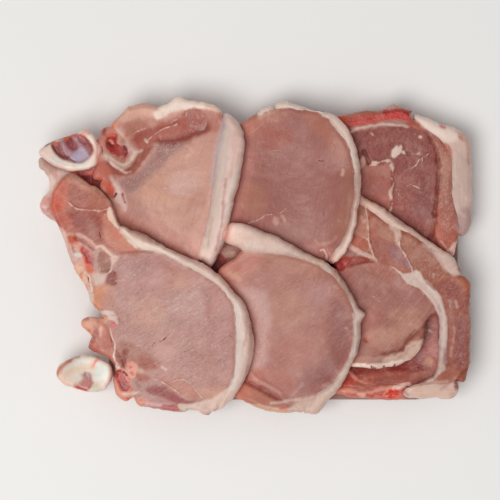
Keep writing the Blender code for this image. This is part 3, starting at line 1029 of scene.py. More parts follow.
    def under_dots(self, rim: np.ndarray) -> np.ndarray:
        """Widely spaced points for the underside."""
        low, high = rim.min(0), rim.max(0)
        gx, gy = np.meshgrid(
            np.arange(low[0], high[0], self.under_step), np.arange(low[1], high[1], self.under_step)
        )
        dots = np.stack([gx.ravel(), gy.ravel()], 1)
        dots = dots + self.ripple.push(dots * 11.0, 7 * MM) * 0.4 * MM
        away, _ = Edge(rim, rim).nearest(dots)
        dots = dots[away > 2.2 * MM]
        return dots

    def stain(self, colour: Colour) -> np.ndarray:
        """The painted light of a colour, less the white that the wet surface's sheen adds."""
        return np.clip(linear(colour) - self.sheen, 0, 1) / (1 - self.sheen)

    def painted(self, laid: np.ndarray, plan: np.ndarray, part: Part) -> dict[str, np.ndarray]:
        """Works out tint, relief and masks for the points of one piece.

        Args:
            laid: Where the points lie in the plan.
            plan: Where they were before fraying, which the outlines go by.
            part: The piece.

        Returns:
            Arrays by name, one row for each point.
        """
        count = len(laid)
        tint = np.tile(self.stain(part.tint), (count, 1))
        edge, _ = self.bare.nearest(plan)
        seam, _ = self.seam.nearest(plan)
        across = seam / np.maximum(seam + edge, 1e-6)
        if part.seam_tint is not None:
            near = 1 - smoothstep(across + 0.12 * self.ripple.layers(laid, 5 * MM, 2), 0.25, 0.6)
            tint += (self.stain(part.seam_tint) - tint) * near[:, None]
        if part.rim_tint is not None:
            band = 1 - smoothstep(edge / MM + 0.5 * self.ripple.layers(laid, 6 * MM, 2), 0.4 * part.rim_width, 1.3 * part.rim_width)
            tint += (self.stain(part.rim_tint) - tint) * (0.8 * band)[:, None]
        out = {
            "relief": np.zeros(count),
            "wet": np.zeros(count),
            "vein": np.full(count, 3.0),
            "slit": np.full(count, 3.0),
            "marrow": np.full(count, part.marrow),
            "glint_highlight": np.zeros(count),
        }
        low, high = laid.min(0) / MM - 12, laid.max(0) / MM + 12
        for patch in self.patches:
            spots = np.array(patch.points, float)
            if (spots.max(0) < low).any() or (spots.min(0) > high).any():
                continue
            if patch.kind is Kind.STAIN:
                cover = patch.cover(laid, self.ripple)
                tint += (self.stain(patch.colour) - tint) * cover[:, None]
                out["relief"] += patch.relief * cover
                out["marrow"] += (patch.marrow - out["marrow"]) * cover
            # Glints paint highlight: their cover goes into the glint mask.
            elif patch.kind is Kind.GLINTS:
                cover = patch.cover(laid, self.ripple)
                out["glint_highlight"] = np.maximum(out["glint_highlight"], cover)
            else:
                away = patch.reach(laid, self.ripple) + patch.width / 2
                name = "vein" if patch.kind is Kind.VEIN else "slit"
                ratio = np.clip(away / (0.5 * patch.width), 0, 3) + 1.2 * (1 - patch.strength)
                out[name] = np.minimum(out[name], ratio)
                cover = 1 - smoothstep(ratio, 0.5, 2.0)
                out["relief"] += patch.relief * cover
            out["wet"] = np.clip(out["wet"] + patch.wet * cover, 0, 1)
        # Painted contact shadow and painted lift of light near the chops above.
        tint = self.painted_contact_shade(laid, tint)
        out["tint"] = np.column_stack([np.clip(tint, 0, 1), np.ones(count)])
        return out

    def painted_contact_shade(self, laid: np.ndarray, tint: np.ndarray) -> np.ndarray:
        """Paints a dark red contact shadow where a chop above comes down on this one, and a lift of light a little
        beyond it.

        Args:
            laid: Where the points lie in the plan.
            tint: Their colour so far.

        Returns:
            The colour with its painted shadow and light.
        """
        shade, painted_lift = np.zeros(len(laid)), np.zeros(len(laid))
        for other in self.above:
            low, high = other.frayed.samples.min(0) - 0.022, other.frayed.samples.max(0) + 0.022
            near = ((laid > low) & (laid < high)).all(1)
            if not near.any():
                continue
            away, _ = other.frayed.nearest(laid[near])
            away = np.clip(away / MM + 0.5 * self.ripple.layers(laid[near], 5 * MM, 2), 0, None)
            # Painted contact shadow: dark red close to the edge of the chop above.
            depth = self.contact_shade_depth * np.exp(-((away / self.contact_shade_reach) ** 1.5))
            shade[near] = np.maximum(shade[near], depth)
            painted_lift[near] = np.maximum(painted_lift[near], self.painted_lift * np.exp(-((away / self.painted_lift_reach) ** 2)))
        # The painted lift of light first, then the painted shadow.
        tint = tint * (1 + painted_lift[:, None] * np.array([1.0, 0.85, 0.8]))
        return tint * (1 - shade[:, None] * np.array([0.55, 0.92, 0.95]))

    def worn(self, paint: dict[str, np.ndarray], part: Part, loop: list[int]) -> dict[str, np.ndarray]:
        """The paint of the cut side and the underside, blurred along the rim.

        Args:
            paint: The top's paint.
            part: The piece that is painted.
            loop: The top's rim, in order.

        Returns:
            Values for every point of the top, of which the rim's are used below it.
        """
        # The sides keep a faint share of the painted glint highlight.
        plain = {"vein": 3.0, "slit": 3.0, "glint_highlight": 0.15, "wet": 0.15, "marrow": 0.5 * part.marrow}
        worn = {name: np.full(len(paint[name]), value) for name, value in plain.items()}
        tint = np.tile(np.append(self.stain(part.tint), 1.0), (len(paint["tint"]), 1))
        ring = paint["tint"][loop]
        blurred = np.mean([np.roll(ring, k, 0) for k in range(-self.side_blur, self.side_blur + 1)], 0)
        tint[loop] = 0.55 * blurred + 0.45 * tint[loop]
        worn["tint"] = tint
        return worn

    @staticmethod
    def attach(
        mesh: bpy.types.Mesh,
        paint: dict[str, np.ndarray],
        worn: dict[str, np.ndarray],
        source: np.ndarray,
        fade: np.ndarray,
    ) -> None:
        """Writes the painted values onto the mesh.

        Args:
            mesh: The finished mesh.
            paint: The top's values.
            worn: The values that take over down the walls.
            source: For each vertex, the point of the top that it hangs from.
            fade: For each vertex, how far it is worn.
        """
        for name, below in worn.items():
            colour = below.ndim == 2
            share = fade[:, None] if colour else fade
            values = paint[name][source] * (1 - share) + below[source] * share
            made = mesh.attributes.new(name, "FLOAT_COLOR" if colour else "FLOAT", "POINT")
            made.data.foreach_set("color" if colour else "value", values.astype(np.float32).ravel())


def lean(node: str, tint: Colour, finish: LeanFinish, slot: str = "lean_meat", **more: object) -> Part:
    """A piece of lean meat."""
    return Part(node, Tissue.LEAN, tint, finish, slot, **more)


def fat(node: str, tint: Colour, finish: FatFinish, **more: object) -> Part:
    """A piece of fat."""
    return Part(node, Tissue.FAT, tint, finish, "fat", **more)


def bone(node: str, tint: Colour, finish: BoneFinish, slot: str = "bone", **more: object) -> Part:
    """A piece of bone."""
    return Part(node, Tissue.BONE, tint, finish, slot, **more)


@dataclass
class UpperLeftChop(Slab):
    """The top chop of the far row, with its thick fat cap and its sawn backbone."""

    title: str = "upper_left"
    seed: int = 11
    parts: tuple[Part, ...] = (
        lean("upper_left_chop_lean", (214, 162, 149), LeanFinish(grain=70, blotch=0.12)),
        fat(
            "upper_left_chop_fat",
            (236, 205, 196),
            FatFinish(grain=80),
            edge_round=5.0,
            bulge=0.8,
            seam_tint=(214, 192, 186),
        ),
        bone("upper_left_chop_bone", (198, 130, 112), BoneFinish()),
    )
    eye: tuple[Patch, ...] = (
        area((216, 166, 147), (-82, 54), (-66, 64), (-54, 72), (-40, 78), (-32, 70), (-32, 40), (-40, 20), (-54, 18), (-70, 26), (-84, 38), soft=12, strength=0.6),
        area((222, 178, 167), (-62, 52), (-52, 60), (-42, 58), (-40, 48), (-50, 42), (-60, 44), soft=9, strength=0.75),
        area((216, 160, 136), (-78, 52), (-66, 57), (-62, 48), (-72, 42), (-82, 44), soft=9, strength=0.6),
        area((198, 142, 125), (-50, 40), (-36, 44), (-34, 26), (-46, 18), (-56, 26), soft=11, strength=0.7),
        area((190, 140, 130), (-91, 46), (-82, 40), (-74, 26), (-88, 25), (-92, 34), soft=8, strength=0.7),
        area((174, 126, 120), (-95, 52), (-84, 58), (-75, 66), (-66, 78), (-54, 80.5), (-46, 79.5), (-54, 74), (-60, 69), (-66, 62), (-76, 54), (-84, 45), (-92, 46), soft=6, strength=0.9, wet=0.5),
        glints((212, 178, 174), (-86, 56), (-76, 66), (-72, 78), (-56, 80), (-52, 77), (-62, 66), (-72, 54), (-84, 46), (-92, 50), soft=4),
        glints((232, 196, 184), (-70, 50), (-56, 58), (-40, 58), (-36, 44), (-48, 40), (-64, 42), soft=8, strength=0.35),
        glints((206, 170, 164), (-95, 52), (-88, 56), (-80, 50), (-84, 42), (-92, 44), soft=4, strength=0.6),
        # Painted shade: a dark red band and a greyer band above it along the lower margin, where the cap of the
        # near-row chop comes down over this eye.
        line((147, 80, 68), 7, (-92, 24), (-80, 18), (-70, 11.5), (-60, 6), (-46, -1), soft=8, strength=0.8),
        line((178, 122, 112), 8, (-88, 29), (-76, 23), (-64, 17), (-50, 9), soft=9, strength=0.5),
        line((204, 160, 152), 3, (-49, 7), (-46, 3), (-43, 1), soft=3, strength=0.6, relief=0.3),
        line((229, 182, 163), 1.8, (-46, 75), (-44, 73), soft=1.5, strength=0.8),
        line((229, 182, 163), 2.2, (-49, 70), (-46, 70.5), soft=1.5, strength=0.8),
        line((228, 186, 176), 4, (-58, 47), (-50, 50), (-44, 49), soft=5, strength=0.55),
        line((226, 176, 152), 5, (-74, 44), (-64, 40), (-56, 38), soft=6, strength=0.5),
        line((196, 146, 132), 4, (-66, 58), (-58, 60), (-50, 62), soft=5, strength=0.5),
        line((196, 142, 128), 4, (-60, 30), (-48, 32), (-40, 36), soft=6, strength=0.5),
        vein(1.0, (-73, 46), (-64, 47.5), (-54, 47), strength=0.7),
        vein(0.9, (-58, 54), (-52, 55), (-44, 52), (-37, 53), strength=0.6),
        vein(0.8, (-50, 44.5), (-44, 46), (-37, 45), strength=0.5),
        vein(0.8, (-66, 56), (-58, 57.5), (-52, 59), strength=0.5),
        vein(0.9, (-74, 43.5), (-64, 46), (-57, 49), (-52, 52), strength=0.5),
        vein(1.0, (-55, 44.5), (-50, 44), (-45, 42.5), strength=0.6),
        vein(0.8, (-57, 60), (-50, 59), (-43, 62), (-36, 61), strength=0.5),
        vein(0.8, (-62, 34), (-56, 32), (-52, 29), strength=0.4),
        slit(0.9, (-47, 54), (-44, 51), (-43, 48), strength=0.35),
        slit(0.8, (-70, 76), (-66, 74.5), (-62, 75), strength=0.4),
    )
    shoulder: tuple[Patch, ...] = (
        area((204, 144, 128), (-99, 93), (-88, 100), (-74, 100), (-66, 96), (-72, 90), (-82, 84), (-94, 82), soft=5, strength=0.9),
        area((230, 182, 162), (-98, 95), (-90, 104), (-80, 106), (-72, 105), (-68, 101), (-72, 97), (-82, 97), (-91, 94), soft=4, strength=0.9),
        line((235, 178, 158), 3, (-90, 99), (-81, 101.5), (-74, 100.5), soft=3, strength=0.7),
        line((190, 140, 124), 1.5, (-88, 102.5), (-80, 104.2), (-73, 103.5), soft=1.5, strength=0.6, relief=-0.2),
        area((184, 120, 104), (-92, 92), (-84, 94), (-76, 93.5), (-78, 88), (-88, 84), (-93, 87), soft=4, strength=0.8),
        area((186, 116, 100), (-36, 104), (-28, 101), (-23, 97), (-22, 90), (-27, 86), (-36, 87), (-34, 95), soft=5, strength=0.75),
        area((176, 92, 78), (-87, 82), (-83, 87), (-76, 89.5), (-70, 91.5), (-66, 94.5), (-58, 95.5), (-52, 99.5), (-48, 102), (-40, 102.5), (-36, 100), (-33, 95), (-33, 89), (-42, 85), (-50, 82), (-58, 80), (-68, 79.5), (-76, 76), (-81, 75), (-85, 78), soft=5, strength=0.95, relief=-0.7),
        area((164, 82, 70), (-85, 82), (-80, 87), (-74, 89), (-69, 91), (-66, 89.5), (-72, 85.5), (-78, 81), (-82, 79), soft=2.5, strength=0.8),
        area((190, 114, 100), (-72, 82), (-66, 87), (-58, 90.5), (-52, 91), (-54, 86), (-62, 82.5), soft=3, strength=0.7),
        # Painted shade in the groove along the lower edge of the spinalis.
        line((138, 56, 48), 5, (-66, 80.5), (-58, 80.8), (-50, 82.8), (-44, 85), (-38, 87.3), (-34, 90.5), soft=5.5, strength=0.8, relief=-1.0),
        line((150, 74, 62), 1.2, (-50, 99), (-47.5, 101.5), (-43, 102.3), (-39, 101.8), soft=1.2, strength=0.8, relief=-0.3),
        glints((216, 172, 166), (-50, 101), (-45, 101), (-36, 98), (-34, 92), (-37, 88), (-46, 88), (-48, 95), soft=2.5, strength=1.0),
        line((172, 96, 86), 6, (-42, 94), (-38, 92), soft=4, strength=0.4, wet=1.0),
        vein(1.1, (-76, 80.5), (-73, 83.5), (-69, 86.5), (-64, 89.5), (-58, 91.3), (-55, 92.5), strength=0.95, relief=0.3),
        line((234, 204, 192), 1.6, (-77.2, 81.5), (-76, 80), soft=1.4, strength=0.8),
        vein(1.1, (-88, 84), (-85, 86), (-81, 88), (-77, 89.5), strength=0.8),
        vein(1.0, (-60, 93), (-57, 95), (-55, 95.8), strength=0.7),
        line((218, 150, 130), 1.4, (-26, 95), (-25, 92.5), soft=1.2, strength=0.8),
    )
    crown: tuple[Patch, ...] = (
        area((250, 226, 211), (-71, 100.5), (-65, 106), (-61, 108), (-58, 111), (-54, 113), (-49, 111), (-43, 110), (-35, 108.5), (-31, 107), (-24, 106), (-19, 103), (-21, 100), (-28, 101.8), (-33, 103), (-38, 103.2), (-44, 103.8), (-50, 102.2), (-56, 100.5), (-62, 98.5), (-67, 96), (-70, 97), soft=2.6, relief=0.4),
        line((228, 190, 166), 3, (-34, 104.5), (-28, 103.5), (-22, 101.5), soft=3, strength=0.7),
        line((252, 236, 226), 4, (-60, 103.5), (-54, 106), (-46, 105.5), soft=4, strength=0.7),
        line((226, 160, 146), 1.6, (-61, 99), (-56, 100.5), (-51, 102), soft=1.6, strength=0.5),
    )
    cap: tuple[Patch, ...] = (
        line((199, 180, 182), 4, (-22, 94), (-25, 80), (-28, 66), (-29.5, 50), soft=3, strength=0.7),
        line((228, 206, 190), 4.5, (-20, 86), (-22, 70), (-25, 52), (-27, 36), (-31, 18), (-34, 2), soft=4, strength=0.55),
        line((222, 184, 172), 5, (-15, 84), (-14, 70), (-17, 56), soft=4, strength=0.7),
        line((232, 214, 204), 3.5, (-13, 60), (-16, 48), (-18.5, 36), (-19.5, 28), soft=2.5, strength=0.8),
        line((188, 142, 130), 1.3, (-20.5, 54), (-21.5, 46), (-22.7, 38), (-23, 30), (-23.6, 22), (-25.5, 12), (-27.5, 4), soft=1.8, strength=0.8, relief=-1.0),
        line((212, 180, 176), 2, (-22, 36), (-21.5, 26), (-23.5, 14), (-25.5, 6), soft=2, strength=0.6, relief=0.4),
        line((196, 158, 128), 2, (-30, 26), (-32.5, 14), (-33, 6), soft=3, strength=0.5),
        line((238, 214, 200), 2.6, (-35, 12), (-37, 4), (-38.5, -1), soft=2, strength=0.7, relief=0.4),
        slit(0.8, (-35.5, 7), (-36.5, 2), strength=0.4),
        line((160, 136, 128), 2.5, (-16.5, 96), (-13, 91), (-11, 86), soft=4, strength=0.4),
        line((226, 196, 176), 2.2, (-18, 97), (-13.5, 91.5), (-10, 84), soft=2, strength=0.5),
    )
    spine: tuple[Patch, ...] = (
        area((190, 108, 92), (-114, 61), (-108, 66), (-103, 67), (-100, 60), (-98, 52), (-97, 42), (-100, 40), (-105, 45), (-110, 50), (-113, 55), soft=3, relief=0.3),
        area((198, 92, 74), (-104, 50), (-100, 49), (-97.5, 42), (-100, 40.5), (-103, 44), soft=3, strength=0.9),
        area((168, 96, 82), (-103, 68), (-101, 62), (-98, 56), (-92, 56), (-86, 57), (-80, 64), (-75, 71), (-71, 77), (-77, 76.5), (-83, 71), (-88, 64), (-95, 60), soft=2.5, relief=-0.3),
        area((208, 148, 134), (-109, 80), (-105, 82), (-103, 88), (-104, 93), (-100, 95), (-96, 95), (-93, 90), (-93, 82), (-96, 74), (-100, 69), (-107, 66), (-109, 72), soft=3, strength=0.95),
        area((228, 144, 116), (-104.5, 92.5), (-100, 94), (-97, 92), (-98, 89), (-102, 88.5), soft=2.5, strength=0.9),
        area((222, 176, 160), (-98, 89), (-94, 89.5), (-91.5, 86), (-94, 82), (-96, 80), (-97, 84), soft=3, strength=0.7),
        line((230, 140, 122), 3.2, (-102, 85.5), (-99.5, 87), soft=2, strength=0.9, relief=0.4),
        area((176, 56, 46), (-104.5, 75), (-105, 80), (-103.5, 84.5), (-100, 85.8), (-97, 84.5), (-96.5, 80.5), (-94, 78), (-91.2, 75), (-90.8, 71.5), (-93, 69.6), (-97, 70), (-101, 72.3), soft=2.2, ragged=1.2, relief=-0.7, marrow=0.8, wet=0.5),
        area((150, 34, 30), (-103, 79), (-100, 79.5), (-98, 76.5), (-101, 74.5), soft=2, strength=0.8, relief=-0.5),
        area((172, 72, 74), (-98, 76), (-94, 77), (-91.5, 74), (-93, 70.5), (-97, 71), soft=2, strength=0.8),
        line((232, 150, 132), 1.6, (-101.8, 81.2), (-100.2, 80.2), soft=1.4, strength=0.8, relief=0.3),
        line((226, 120, 104), 2, (-103, 84.5), (-99, 84.5), soft=1.5, strength=0.8),
        slit(1.5, (-102.5, 79), (-100.5, 77.5), strength=0.9, relief=-0.5),
        slit(1.2, (-104, 79), (-103.6, 76.5), strength=0.8),
        slit(1.3, (-107.4, 76.5), (-107, 74), (-107.2, 71.5), strength=0.95, relief=-0.5),
        area((158, 74, 74), (-108.5, 91.5), (-105.2, 92.5), (-104.8, 88), (-106, 84), (-107.2, 86.5), soft=1.4, relief=0.4),
        line((228, 204, 189), 3.6, (-105, 70), (-101, 68), (-97, 65), (-93, 63.2), (-89.5, 64.5), (-86.5, 68.5), (-84, 72), soft=2.6, ragged=1.1, strength=0.9, relief=0.6),
        line((230, 200, 186), 1.6, (-84.5, 73.5), (-81.5, 73), (-79.5, 74), soft=1.6, relief=0.4),
        line((196, 150, 134), 1.0, (-103, 68.6), (-99.5, 66), (-96, 63.6), (-92.6, 62), (-89, 63.4), (-85.6, 67.4), soft=1.0, strength=0.8, relief=-0.4),
        line((190, 140, 122), 0.9, (-94.6, 66.4), (-90.6, 67.2), (-87.8, 71), (-85.4, 74), soft=1.0, strength=0.7, relief=-0.3),
        line((238, 218, 206), 1.4, (-86.6, 75.6), (-84.8, 71), (-86.4, 67), soft=1.2, strength=0.8, relief=0.4),
        line((152, 82, 72), 1.3, (-102.5, 65), (-99, 61.8), (-95, 59.8), (-91, 59.6), (-87, 61.5), (-82, 67), soft=1.3, strength=0.85, relief=-0.6),
        line((226, 190, 176), 1.8, (-101, 66), (-98.5, 62.8), (-94.5, 60.4), (-90.5, 58.4), (-87.5, 59), soft=1.4, relief=0.3),
        line((206, 168, 160), 3, (-92, 79), (-88.5, 76.5), (-87.5, 72), soft=2.5, strength=0.8),
        line((186, 92, 98), 2, (-93, 67.8), (-90.5, 69.5), (-89, 72), soft=1.5, strength=0.9, wet=0.6),
        slit(1.1, (-91.8, 77), (-90.4, 74.6), (-90.2, 72), (-91.6, 69.8), strength=1.0, relief=-0.8),
        area((226, 196, 188), (-101.5, 56), (-98.5, 53), (-95.5, 50.5), (-93, 46.5), (-90.8, 42), (-89.6, 38), (-90, 32), (-92, 31), (-95, 35), (-98.4, 38), (-99, 42), (-98, 46), (-100, 51), soft=2.4, strength=0.85, relief=0.4, wet=0.4),
        line((236, 208, 204), 1.2, (-98, 50), (-95, 45), (-92, 41), soft=1, strength=0.8, relief=0.3),
        line((158, 42, 44), 1.7, (-93.2, 43.5), (-92, 40), (-91.2, 37.5), soft=1.2, strength=0.95, relief=-0.5),
        slit(1.6, (-97.4, 43.5), (-98.6, 41), strength=1.0, relief=-0.5),
        line((196, 120, 112), 1, (-96, 36), (-93.5, 34), (-92.5, 33), soft=1, strength=0.6),
    )
    nubs: tuple[Nub, ...] = (
        Nub((-106, 57), (-5.5, -1.0), 7.0),
        Nub((-103, 49), (-4.0, -0.5), 6.0),
        Nub((-69, 103), (1.0, -1.6), 3.0),
        Nub((-54, 112), (0.0, 1.2), 4.0),
        Nub((-93, 101), (0.8, -0.6), 4.0),
    )

    def __post_init__(self) -> None:
        """Lays the paint from the eye outwards."""
        self.patches = (*self.eye, *self.shoulder, *self.crown, *self.cap, *self.spine)


@dataclass
class LowerLeftChop(Slab):
    """The top chop of the near row: a wide eye, a thick cap and a sawn bone corner."""

    title: str = "lower_left"
    seed: int = 12
    parts: tuple[Part, ...] = (
        lean("lower_left_chop_lean", (191, 140, 131), LeanFinish(grain=32, fibre=0.26, blotch=0.2, pits=0.9)),
        fat(
            "lower_left_chop_fat",
            (232, 202, 192),
            FatFinish(grain=80),
            edge_round=5.5,
            bulge=0.9,
            seam_tint=(226, 206, 194),
        ),
        bone("lower_left_chop_bone", (206, 130, 112), BoneFinish()),
    )
    eye: tuple[Patch, ...] = (
        area((190, 140, 136), (-98, -3), (-86, -1), (-66, 0), (-56, -6), (-64, -20), (-80, -24), (-94, -16), soft=9, strength=0.7),
        area((198, 144, 127), (-62, -8), (-50, -10), (-44, -16), (-50, -24), (-62, -20), soft=8, strength=0.7),
        area((206, 152, 132), (-84, -34), (-70, -30), (-62, -40), (-72, -50), (-86, -46), soft=9, strength=0.65),
        area((190, 138, 132), (-34, -22), (-20, -28), (-15, -46), (-16, -70), (-22, -88), (-32, -80), (-36, -50), soft=9, strength=0.6),
        area((206, 160, 154), (-60, -30), (-46, -24), (-36, -26), (-38, -40), (-54, -44), soft=9, strength=0.55),
        area((208, 160, 150), (-66, -50), (-54, -48), (-50, -62), (-62, -72), (-72, -64), soft=9, strength=0.5),
        area((208, 152, 128), (-42, -94), (-30, -92), (-22, -94), (-30, -101), (-40, -100), soft=5, strength=0.7),
        glints((214, 176, 172), (-99, -3), (-84, -1), (-70, -3), (-76, -14), (-90, -18), (-98, -12), soft=5, strength=0.95),
        glints((228, 190, 182), (-72, -34), (-48, -20), (-32, -24), (-38, -46), (-64, -54), soft=9, strength=0.95),
        glints((224, 184, 176), (-100, -24), (-84, -20), (-70, -34), (-70, -66), (-90, -66), (-100, -50), soft=8, strength=0.7),
        glints((224, 184, 176), (-46, -50), (-22, -36), (-18, -70), (-30, -92), (-60, -84), (-56, -60), soft=9, strength=0.75),
        vein(1.3, (-66, -24.5), (-58, -23), (-50, -22), strength=0.5),
        vein(1.5, (-56, -30), (-50, -28.5), (-44, -26.5), (-40, -23), strength=0.6),
        vein(1.3, (-50, -37), (-44, -34.5), (-39, -31), (-36, -28), strength=0.5),
        vein(1.4, (-72, -44), (-64, -41), (-58, -38), (-52, -33), strength=0.55),
        vein(1.2, (-84, -33), (-76, -29), (-68, -27.5), strength=0.5),
        vein(1.1, (-60, -55), (-52, -50), (-44, -47), strength=0.4),
        slit(1.1, (-76, -66), (-73, -63.5), (-70.5, -60.5), strength=0.5),
        slit(1.2, (-67, -60), (-63.5, -58), (-60, -54), strength=0.55),
        slit(1.1, (-58, -64.5), (-54, -63), (-50, -61.5), strength=0.5),
        slit(1.0, (-82, -61), (-78, -60), (-76, -59), strength=0.4),
        slit(1.0, (-53, -79), (-50, -77), (-47, -76), strength=0.4),
        slit(1.0, (-48, -70), (-44, -73), (-41, -76), strength=0.3),
    )
    flap: tuple[Patch, ...] = (
        area((180, 104, 87), (-136, 57), (-126, 59), (-117, 53), (-107, 48), (-99, 38), (-98, 30), (-95, 22), (-90, 15), (-85, 8), (-79, 3), (-86, 1.5), (-95, 1.5), (-101, 4), (-107, 8), (-113, 8), (-121, 13), (-131, 17), (-138, 22), (-143, 29), (-147, 36), (-145, 46), (-140, 54), soft=2.5),
        area((197, 136, 116), (-134, 58), (-125, 59), (-117, 53), (-112, 49), (-118, 46), (-126, 50), (-132, 52), soft=4, strength=0.9),
        area((176, 104, 92), (-131, 46), (-122, 42), (-114, 38), (-118, 34), (-128, 37), (-132, 40), soft=4, strength=0.7),
        area((188, 124, 108), (-116, 46), (-106, 42), (-101, 36), (-106, 33), (-116, 36), soft=4, strength=0.7),
        line((196, 158, 140), 3, (-124, 55), (-118, 51.3), (-112, 48.6), (-106.5, 44.5), (-102, 40), (-99.5, 36), soft=1.8, strength=0.8),
        area((160, 84, 74), (-129, 31), (-112, 30.5), (-107, 26), (-106, 17), (-110, 9), (-118, 12), (-126, 18), (-131, 24), soft=5, strength=0.85),
        area((158, 86, 84), (-127, 27), (-121, 27), (-121, 22), (-126, 22), soft=3, strength=0.6),
        line((180, 134, 114), 5, (-114.5, 21), (-113.5, 16), soft=4, strength=0.6),
        area((207, 138, 119), (-106, 28), (-99, 25), (-93, 17), (-87, 9), (-81, 3.5), (-94, 2.5), (-102, 8), (-106, 14), soft=4, strength=0.95),
        area((216, 128, 112), (-99, 17), (-95, 18), (-93, 14), (-97, 12), soft=3.5, strength=0.8),
        area((208, 146, 112), (-94, 13), (-90, 12), (-90, 9), (-94, 9), soft=3, strength=0.7),
        slit(1.3, (-110, 21), (-109, 17.5), (-108, 12), strength=0.45),
        slit(1.0, (-108, 19), (-106.5, 17), strength=0.35),
        vein(1.1, (-130, 37), (-127.5, 34.8), (-124, 32.8), (-119, 32.2), (-112, 31.8), (-107, 31.6), (-103, 33), strength=1.0, relief=0.3),
        vein(1.0, (-110, 31), (-106, 29.8), (-102.5, 27.5), strength=0.6),
        vein(0.9, (-136, 41), (-133, 39), (-130, 37), strength=0.5),
        area((204, 112, 90), (-142, 50), (-137, 55), (-132, 52), (-131, 43), (-132, 35), (-136, 29), (-142, 29), (-146, 37), (-144, 45), soft=5),
        area((208, 92, 68), (-141, 40), (-136, 42), (-135, 35), (-139, 31), (-142, 34), soft=4, strength=0.9),
        area((196, 104, 86), (-140, 29), (-133, 30), (-128, 25), (-128, 17.5), (-134, 18), (-138, 23), soft=4, strength=0.9),
        line((240, 168, 152), 1.8, (-145, 37), (-143.5, 43), (-141, 47.5), (-138.5, 51), soft=1.5, strength=0.8),
        area((240, 208, 190), (-101, 34.5), (-103, 31.5), (-103.6, 28), (-101.5, 24.5), (-98.5, 21), (-95.5, 18.6), (-93.5, 19.5), (-96, 23), (-98, 28), (-99.3, 33), soft=1.2, relief=0.4),
        line((142, 80, 68), 3.4, (-98, 37), (-96, 33), (-94, 28), (-93, 24.5), soft=1.6, strength=0.9, relief=-0.6),
        line((218, 74, 64), 2.2, (-95.5, 26), (-94, 23.5), (-92.8, 21.8), soft=1.2, strength=0.95, wet=0.6),
        line((176, 124, 112), 2, (-92, 22), (-88, 20), soft=1.5, strength=0.7),
        area((186, 128, 118), (-101, 4), (-93, 2.5), (-84, 3), (-76, 3), (-84, 0), (-94, 0), (-100, 1.5), soft=2, strength=0.7),
        line((160, 104, 92), 1.5, (-94, 1.6), (-86, 2.4), (-78, 2.6), (-72, 2.2), soft=1.5, strength=0.7, relief=-0.4),
    )
